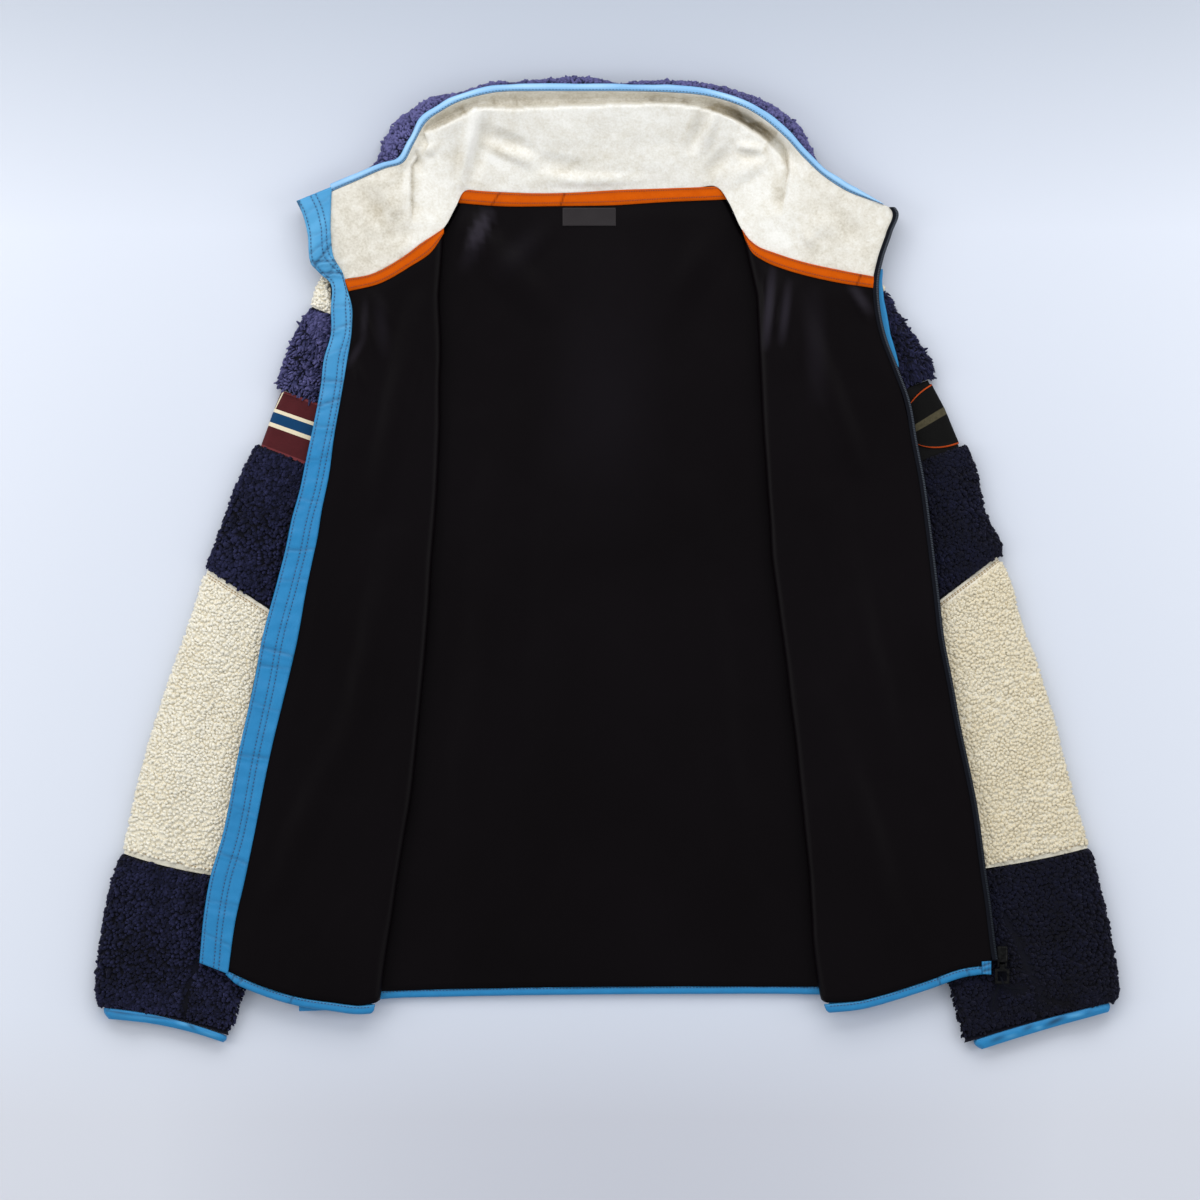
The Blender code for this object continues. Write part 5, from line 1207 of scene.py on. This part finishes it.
def pull_cord():
    route = smooth_line(PULL_CORD_ROUTE, 90)
    side, rings = np.array((0.0, 0.0, 1.0)), []
    turns = np.radians(np.arange(0, 360, 36))[:, None]
    for k, (point, direction) in enumerate(zip(route, unit(np.gradient(route, axis=0)))):
        side = unit(side - direction * (side @ direction))
        other = np.cross(direction, side)
        braid = PULL_CORD_RADIUS * (1 + 0.10 * np.cos(3 * turns + 1.1 * k))
        rings.append(point + braid * (np.cos(turns) * side + np.sin(turns) * other))
    faces = squares(len(rings), len(turns), ring=True)
    piece = made("pull_cord_braid", np.stack(rings), faces, tape_navy, body="zip_pull")
    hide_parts("pull_cord")


def label():
    x1, x2, y1, y2 = LABEL
    u, v = np.meshgrid(np.linspace(0, 1, 40), np.linspace(0, 1, 16))
    grid = np.stack([x1 + (x2 - x1) * u, y2 + (y1 - y2) * v], axis=-1)
    curl = 0.5 * v**2 + 0.25 * drift(u * 48, v * 16, 12, 41)
    low = BACK_LINING_TOP + GAP
    upper, under = at_height(grid, low + 0.8 + curl), at_height(grid, low + curl * 0.9)
    piece = cloth_between("neck_label_cloth", upper, under, label_cloth)
    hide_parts("neck_label")


# ---------------------------------------------------------------- hood


def ridge_share(x, y, share, other):
    """Where a line across the hood crosses the ridge of its lining, or else the other share."""
    ridge = np.array(RIDGE, float)
    beyond = np.flatnonzero(y > np.interp(x, ridge[:, 0], ridge[:, 1], left=1e4, right=1e4))
    first = share[beyond[0]] if len(beyond) else 0.0
    return first if 0.6 < first < 0.93 else other


def hood():
    cols, rows = 440, 80
    table = {key: through(values, cols) for key, values in hood_sections().items()}
    table["rim_y"] -= RIM_DROP * ramp(table["rim_z"] - 24, 8)
    share = np.linspace(0, 1, rows)[:, None]
    x = table["seam_x"] + share * (table["rim_x"] - table["seam_x"]) + table["bow"] * np.sin(np.pi * share)
    y = table["seam_y"] + share * (table["rim_y"] - table["seam_y"])
    z = np.zeros((rows, cols))
    for c in range(cols):
        ridge = table["ridge_at"][c] = ridge_share(x[:, c], y[:, c], share[:, 0], table["ridge_at"][c])
        at = (0, 0.12, 0.45, ridge - 0.05, ridge, ridge + 0.03, (ridge + 1) / 2, 1)
        seam_z, mid_z, ridge_z = table["seam_z"][c], table["mid_z"][c], table["ridge_z"][c]
        trough_z = table["trough_z"][c] - HOOD_HOLLOW * ramp(ridge_z - table["trough_z"][c], 6)
        drop = ridge_z - trough_z
        heights = (
            seam_z, seam_z + 0.30 * (mid_z - seam_z), mid_z, ridge_z - 0.1 * abs(drop), ridge_z,
            ridge_z - 0.75 * drop, trough_z, table["rim_z"][c],
        )  # fmt: skip
        z[:, c] = np.interp(share[:, 0], at, heights)
    for _ in range(2):
        z[1:-1] = (z[:-2] + 2 * z[1:-1] + z[2:]) / 4
    flat = np.stack([x, y], axis=-1)
    inside = ramp(np.minimum(share, 1 - share), 0.08) * np.ones((1, cols))
    creases = folds_at(flat, HOOD_CREASES)
    z += (1.35 * creases + 0.5 * drift(x, y, 24, 51) + 0.25 * drift(x, y, 9, 52)) * inside
    # Shade and shine painted into the lining's colour, beside its real creases and steps.
    shaded = 0.5 * ramp(-creases, 3) + folds_at(flat, HOOD_SHADE)
    for outline, shade in HOOD_HOLLOWS:
        shaded += shade * within(outline, flat)
    for line, step, fade, toward in HOOD_STEPS:
        off = toward * (x - x_at(line, y))
        ends = ramp(np.minimum(y - line[-1][1], line[0][1] - y), 14)
        z -= step * np.where(off > 0, np.exp(-off / fade), ramp(1.2 + off, 1.2)) * ends * inside
        shaded += 1.1 * np.where(off > 0, np.exp(-off / 5.0), 0) * ends * inside
    z[0] = table["seam_z"]
    top = at_height(flat, z)
    top[0, :, :2] = moved_aside(top[0, :, :2], -GAP)
    bottom = top - np.array([0, 0, LINING])
    # It is shaded behind its ridge and towards both ends.
    behind = ramp(share - table["ridge_at"][None], 0.02) * ramp(table["ridge_z"] - 24, 5)[None]
    behind = np.maximum(behind, 0.95 * ramp(-172 - x, 12))
    behind = np.maximum(behind, 0.65 * ramp(x - 165, 20)) + shaded
    piece = cloth_between("hood_lining_cloth", top[::-1], bottom[::-1], fleece_white, marks={"behind": behind[::-1]})
    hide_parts("hood_lining")

    rim = np.stack([table["rim_x"], table["rim_y"], table["rim_z"]], axis=1)
    halo = np.stack([table["halo_x"], table["halo_y"]], axis=1)
    reach = np.linalg.norm(halo - rim[:, :2], axis=1)[:, None]
    outward = (halo - rim[:, :2]) / reach
    hood_binding(rim, outward)
    hood_fleece(rim, outward, reach, table)


def within(outline, flat):
    """1 inside an outline and 0 outside it, softened over about a millimetre."""
    x, y = flat[..., 0], flat[..., 1]
    inside, away = np.zeros(x.shape, bool), np.full(x.shape, 99.0)
    for start, end in zip(outline, outline[1:] + outline[:1]):
        (ax, ay), (bx, by) = start, end
        crossing = (ay > y) != (by > y)
        inside ^= crossing & (x < ax + (y - ay) * (bx - ax) / (by - ay if by != ay else 1e-9))
        away = np.minimum(away, beside_stretch(flat, start, end)[1])
    return ramp(0.65 + np.where(inside, away, -away), 1.3)


def hood_binding(rim, outward):
    inner = slice(round(0.040 * len(rim)), round(0.945 * len(rim)))
    rim, outward = rim[inner], outward[inner]
    turns = np.linspace(0, 1, 13)
    reach = walked(rim)
    slim = (0.12 + 0.88 * ramp(reach[-1] - reach, 30)) * (1 + 0.10 * drift(reach, 0 * reach, 16.0, 62))
    across = GAP + (HOOD_BINDING_WIDTH - GAP) * turns[None] * slim[:, None]
    side = np.broadcast_to(turns, across.shape)
    flat = rim[:, None, :2] + outward[:, None] * across[..., None]
    arch = np.sqrt(ramp(1 - (2 * turns - 1) ** 2))
    pucker = 0.18 * drift(side * 3, reach[:, None] + 0 * side, 4.0, 61)
    top = at_height(flat, rim[:, 2:] + 0.2 + (1.6 + pucker) * arch[None])
    bottom = at_height(flat, rim[:, 2:] - 1.2 - 1.5 * turns[None] ** 2)
    # Shade painted along the seam at its inner edge towards both ends, and a highlight painted along its top.
    painted_seam_shade = 0.6 * bell(side - 0.22, 0.12) * ramp(np.abs(rim[:, :1]) - 150, 25)
    shine = bell(side - 0.62, 0.30) * (0.40 + 0.34 * drift(reach, 0 * reach, 30.0, 63))[:, None]
    marks = {"crease_and_painted_shade": painted_seam_shade[:, ::-1], "painted_light": shine[:, ::-1]}
    piece = cloth_between("hood_binding_cloth", top[:, ::-1], bottom[:, ::-1], hood_blue, marks=marks)
    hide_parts("hood_binding")
    thread = stitches("hood_binding_stitches", top[:, 2], blue_thread, 1.8, 3.0, 0.36)


def pressed_flat(x):
    """1 where the pile behind the hood's edge is pressed flat, and 0 away from there."""
    return ramp(sum(np.exp(-(((x - at) / half) ** 4)) for at, half in HALO_GAPS))


def hood_fleece(rim, outward, reach, table):
    """The outer fleece behind the face edge: over the edge, down to the surface and back under the hood."""
    ends = np.linspace(0, 1, len(rim))[:, None]
    ends = np.maximum(ramp(np.minimum(ends - 0.03, 0.925 - ends), 0.04), 0.02)
    bound = (HOOD_BINDING_WIDTH - 2.5) * ends
    plump = ramp(reach - HOOD_BINDING_WIDTH - 0.5, 3)
    flatter = 2.8 * np.exp(-(((rim[:, :1] - 145) / 38) ** 4))
    reach = np.maximum(reach - 2.4 - flatter, HOOD_BINDING_WIDTH - 1.5) * ends
    top_z = rim[:, 2:] - 2.0
    columns = [at_height(rim[:, :2], top_z[:, 0] - 1.0)]
    over = 22
    for a in np.linspace(0, math.pi / 2, over):
        flat = rim[:, :2] + outward * (bound + (reach - bound) * math.sin(a))
        columns.append(np.concatenate([flat, top_z * (0.12 + 0.88 * math.cos(a))], axis=1))
    foot = rim[:, :2] + outward * np.maximum(reach - 3, 0.1 * ends)
    columns.append(np.concatenate([foot, 0 * top_z + 0.2], axis=1))
    seam = np.stack([table["seam_x"], table["seam_y"]], axis=1)
    for share in (0.85, 0.5, 0.0):
        columns.append(np.concatenate([seam + share * (rim[:, :2] - seam), 0 * top_z + 0.2], axis=1))
    grid = through(np.stack(columns, axis=1), HALO_ROWS)
    facing = upward(grid)
    low, high = HALO_ENDS
    bare = ramp(pressed_flat(grid[..., 0]) + (grid[..., 0] < low) + (grid[..., 0] > high))
    piece = made("hood_fleece", grid, squares(*grid.shape[:2]), navy, marks={"pile": 0.15 + 1.0 * bare})
    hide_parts("hood_outer")

    row, col = scattered(HALO_ROWS, over, NAVY_SPACING / 1.9, 1.5, 77)
    col = col + 1
    roots, faces_out = in_grid(grid, row, col), unit(in_grid(facing, row, col))
    out = np.repeat(through(outward, HALO_ROWS)[:, None], grid.shape[1], axis=1)
    nap = at_height(in_grid(out, row, col), 0.25 - 0 * row)
    plump = np.repeat(through(plump, HALO_ROWS), grid.shape[1], axis=1)
    size = NAVY_TUFT * (0.3 + 0.8 * in_grid(plump, row, col))
    size = size * (1 - 0.7 * pressed_flat(roots[:, 0])) * ramp(2.7 + col, 9)
    pressed = (roots[:, 0] < low) | (roots[:, 0] > high)
    size = np.where(pressed, PRESSED_TUFT, size)
    shown = (roots[:, 0] > low - PRESSED_REACH[0]) & (roots[:, 0] < high + PRESSED_REACH[1])
    kept = (roots[:, 2] > 3) & shown & (~pressed | (col > 6))
    roots = roots - np.array([0, 0, 1.2]) * ramp(8 - col, 8)[:, None]
    # The hood's pile is painted lighter, for the light that falls on it most.
    lift = np.full(len(roots), PILE_LIGHT["hood"])
    locks = tufts(
        "hood_tufts", roots[kept], faces_out[kept], nap[kept], size[kept], navy, 79, PILE_CUT["hood"], lift[kept]
    )


# ---------------------------------------------------------------- sleeves


def sleeve_grid(table, step, shown, crowned):
    """Points on the outside of a sleeve stage. Returns the grid, which way it faces, the place of each point round
    and down the cloth, and how much of the pile stands there."""
    values = np.array(table, float)
    mid = values[:, :2] * 0.7 + values[:, 2:4] * 0.3
    length = walked(mid)[-1]
    count = max(int(length / step), 8)
    values = through(values, count)
    outer, inner, height, bow = values[:, None, :2], values[:, None, 2:4], values[:, None, 4], values[:, None, 5]
    width = np.linalg.norm(inner - outer, axis=2)
    across = (inner - outer) / width[..., None]
    along = np.stack([-across[..., 1], across[..., 0]], axis=-1)
    along = np.where(along[..., 1:] < 0, along, -along)
    half = np.minimum(height / 2, 0.45 * width)
    upright = height / 2
    top_span = width - 2 * half

    # The way round the sleeve: which stretch, the place on it, and how much of the pile stands there.
    parts = []
    arc = max(int(math.pi * 6 / step), 12)
    for a in np.linspace(-math.pi / 2, math.pi / 2, arc):
        parts.append(("near", a, 1.0 if a > -1.0 else max(0.0, (a + math.pi / 2) / 0.6)))
    shown_count = max(int(shown * top_span.max() / step), 6)
    for k in range(1, shown_count + 1):
        share = shown * k / shown_count
        parts.append(("top", share, 1.0 if shown == 1 else min(1.0, (shown - share) / 0.05 + 0.1)))
    for share in np.linspace(shown, 1, 5)[1:-1] if shown < 1 else ():
        parts.append(("top", share, 0.0))
    for a in np.linspace(math.pi / 2, -math.pi / 2, arc // 2 if shown == 1 else 7):
        parts.append(("far", a, 1.0 if shown == 1 else 0.0))
    for share in (0.7, 0.4, 0.15, 0.05):
        parts.append(("under", share, 0.0))

    points, facings, rounds, fades = [], [], [], []
    for kind, at, fade in parts:
        if kind == "near":
            x, z = half - half * math.cos(at), upright * math.sin(at)
            nx, nz, s = -math.cos(at), math.sin(at), half * at
        elif kind == "far":
            x, z = width - half + half * math.cos(at), upright * math.sin(at)
            nx, nz, s = math.cos(at), math.sin(at), half * math.pi / 2 + top_span + half * (math.pi / 2 - at)
        elif kind == "top":
            x, z = half + top_span * at, upright
            nx, nz, s = 0.0, 1.0, half * math.pi / 2 + top_span * at
        else:
            x, z = half + top_span * at, -upright
            nx, nz, s = 0.0, -1.0, -half * math.pi / 2 - top_span * at
        share = ramp(x, width)
        crown = np.where(share < CROWN_END, np.sin(np.pi * share / CROWN_END) ** 2, 0) * SLEEVE_CROWN
        crown = crown * (z > 0) * (width > 40) * crowned
        flat = outer + across * x[..., None] + along * (bow * 4 * share * (1 - share))[..., None]
        points.append(np.concatenate([flat, (SLEEVE_HEIGHT / 2 + z + crown)[..., None]], axis=-1)[:, 0])
        facings.append(np.concatenate([across[:, 0] * nx, np.full((count, 1), nz)], axis=1))
        rounds.append((s + 0 * width)[:, 0])
        fades.append(fade)
    grid, facing = np.stack(points, axis=1), np.stack(facings, axis=1)
    round_it = np.stack(rounds, axis=1)
    down_it = walked(grid[:, arc // 2])[:, None] + 0 * round_it
    return grid, facing, round_it, down_it, np.array(fades)[None] * np.ones((count, 1))


def sleeve(side, stages):
    flip = side == "right"
    for k, (stage, table) in enumerate(stages.items()):
        name = f"{side}_sleeve_{stage}"
        step = 1.0 if stage == "cuff_binding" else CLOTH_STEP
        shown = SHOWN_SHARE if stage == "forearm" else 1.0
        grid, facing, round_it, down_it, fade = sleeve_grid(table, step, shown, stage != "band")
        is_cream = stage in ("shoulder", "forearm")
        locks = None
        if stage not in ("band", "cuff_binding"):
            finish = cream if is_cream else navy
            slot = "cream_pile" if is_cream else "navy_pile"
            at_binding = grid[-1].copy()
            grid = grid - facing * ((0.4 if stage == "shoulder" else PILE_SINK) * fade)[..., None]
            locks = sleeve_pile(name, grid, facing, down_it, fade, is_cream, 200 + 10 * k + 5 * flip)
            end = np.minimum(down_it, down_it[-1:] - down_it)
            grid[..., 2] -= 1.5 * bell(end, 4.0) * fade * ramp(grid[..., 2], 8)
            if stage == "cuff":
                grid[-1] = at_binding
            marks = {"pile": (0.55 if is_cream else 0.2) + 0 * round_it}
        elif stage == "band":
            rows = np.linspace(0, 1, len(grid))[:, None] + 0 * round_it
            marks = {"down": rows, "round": round_it}
            finish, slot = (ribbon_black, "dark_band") if flip else (ribbon, "striped_band")
            grid[..., 2] += 0.3 * drift(round_it, down_it, 11, 81 + k) * (grid[..., 2] > 9)
        else:
            bulge = np.sin(np.pi * np.linspace(0, 1, len(grid)))[:, None, None]
            grid = grid + facing * (0.9 * bulge + 0.25 * drift(round_it * 0.4, round_it, 5, 90)[..., None])
            # Shade and highlights painted along the folds of the cuff binding.
            marks = {"crease_and_painted_shade": folds_at(grid, BINDING_SHADE), "painted_light": folds_at(grid, BINDING_SHINE)}
            finish, slot = blue, "blue_trim"
        grid[..., 2] = np.maximum(grid[..., 2], 0.05)
        faces = squares(*grid.shape[:2], ring=True)
        if flip:
            faces = faces[:, ::-1]
        piece = made(f"{name}_cloth", grid, faces, finish, along=np.stack([round_it, down_it], axis=-1), marks=marks)
        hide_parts(name)
        going = [locks] if locks else []
        if stage == "forearm":
            shown_cols = slice(grid.shape[1] // 12, int(np.flatnonzero(fade[0] > 0.05)[-1]))
            for n, row in enumerate((2, 3, len(grid) - 3)):
                sewn = grid[row, shown_cols] + np.array([0, 0, 0.4])
                going.append(stitches(f"{name}_stitches_{n}", sewn, cream_thread, 2.3, 3.0, 0.5))


def sleeve_pile(name, grid, facing, down_it, fade, is_cream, seed):
    """The locks on the part of a sleeve stage that shows beside the front."""
    size, spacing = (CREAM_TUFT, CREAM_SPACING) if is_cream else (NAVY_TUFT, NAVY_SPACING)
    stage = name.split("_")[-1]
    spacing = UPPER_SPACING if stage == "upper" else spacing
    cols = int(np.flatnonzero(fade[0] > 0.05)[-1]) + 1
    row, col = scattered(len(grid), cols, spacing / CLOTH_STEP, spacing / CLOTH_STEP, seed)
    roots = in_grid(grid, row, col)
    side = -1 if roots[:, 0].mean() < 0 else 1
    edge = [row[:2] for row in PLACKET] if side < 0 else [*ZIP_OUTER, ZIP_END]
    beside = side * (roots[:, 0] - x_at(edge, roots[:, 1])) > -UNDER_FRONT
    below = roots[:, 1] < edge[-1][1] - 2
    kept = (beside | below) & (roots[:, 2] > 1.2)
    row, col, roots = row[kept], col[kept], roots[kept]
    nap = unit(in_grid(np.gradient(grid, axis=0), row, col)) + np.array([SIDEWAYS.get(stage, 0.5) * side, 0, 0])
    down = in_grid(down_it, row, col)
    from_end = in_grid(down_it[-1:] + 0 * down_it, row, col) - down
    short = 1 - (0.35 if is_cream else 0.15) * bell(np.minimum(down, from_end), 3.0)
    crease_and_painted_shade = crease_at(roots)
    roots = roots - np.array([0, 0, 2.4]) * crease_and_painted_shade[:, None] * (roots[:, 2:] > 6)
    size = size * short * (1 - 0.5 * crease_and_painted_shade)
    if stage == "cuff":
        size = size * ramp(4.95 + from_end, 9)
        if side > 0:
            metal_and_cord = [*smooth_line(PULL_CORD_ROUTE, 60)[:, :2], *((355, y) for y in range(-378, -343))]
            clear = np.linalg.norm(roots[:, None, :2] - np.array(metal_and_cord), axis=2).min(axis=1)
            size = size * np.clip(clear / 7, 0.35, 1)
            roots = roots - np.array([0, 0, 1.0]) * (clear < 5)[:, None]
    standing = (down > (FLAT_SEAM if stage == "forearm" else 0)) & (from_end > STAGE_END[stage])
    # The pile is painted lighter or darker for the light its stage gets, and shade is painted in the cuff's seams and
    # furrows.
    turned = 1 if side < 0 else CREAM_RIGHT_LIGHT if is_cream else RIGHT_LIGHT
    lift = PILE_LIGHT[stage] * (1 - 0.8 * crease_and_painted_shade) * turned
    locks = tufts(
        f"{name}_tufts", roots[standing], in_grid(facing, row, col)[standing], nap[standing], size[standing],
        cream if is_cream else navy, seed, PILE_CUT[stage], lift[standing],
    )  # fmt: skip
    return locks


def crease_at(points):
    """1 on the seams and furrows in the pile of the cuffs and 0 away from them."""
    depth = np.zeros(len(points))
    for *ends, width in CUFF_CREASES:
        _, away = beside_stretch(points[:, :2], ends[:2], ends[2:])
        depth = np.maximum(depth, bell(away, width))
    return depth


def badge():
    """The oval badge, wrapped round the outer edge of the right band."""
    rows = np.array(RIGHT_SLEEVE["band"], float)
    radius = rows[0, 4] / 2
    half_round = radius * math.pi / 2
    low, high = BADGE_SPAN
    middle, reach = (low + high) / 2, (high - low) / 2
    steps, count = 90, 41
    grids, rims = [], []
    for r in (radius + 1.4, radius + 0.5):
        face = []
        for at in np.linspace(low, high, steps):
            turn = np.clip(at, -half_round, half_round) / radius
            beyond = max(abs(at) - half_round, 0)
            tall = 0.86 * math.sqrt(max(1 - ((at - middle) / (reach + 1)) ** 2, 0.02))
            for v in np.linspace(-1, 1, count):
                share = 0.53 + 0.5 * v * tall + 0.0015 * (at - 10) * (1 - v)
                row = np.array([np.interp(share, (0, 0.5, 1), column) for column in rows.T])
                across = (row[2:4] - row[:2]) / np.linalg.norm(row[2:4] - row[:2])
                flat = row[:2] + across * (radius - r * math.cos(turn) + beyond)
                face.append((*flat, SLEEVE_HEIGHT / 2 + r * math.sin(turn)))
                rims.append((max(abs(v), abs(at - middle) / reach), v * tall + 0.0084 - 0.0017 * at))
        grids.append(np.array(face).reshape(steps, count, 3))
    rim, stripe = np.array(rims[: steps * count]).reshape(steps, count, 2).transpose(2, 0, 1)
    raised = (rim > 0.94) * 0.35
    grids[0][..., 2] += raised * np.sign(grids[0][..., 2] - SLEEVE_HEIGHT / 2)
    marks = {"rim": rim, "high": stripe}
    piece = cloth_between("right_sleeve_badge_cloth", *grids, badge_cloth, marks=marks)
    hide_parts("right_sleeve_badge")


# ---------------------------------------------------------------- the jacket

studio()
back()
front("left")
front("right")
bindings()
neck_tapes()
placket()
zip_side()
pull_cord()
label()
hood()
sleeve("left", LEFT_SLEEVE)
sleeve("right", RIGHT_SLEEVE)
badge()
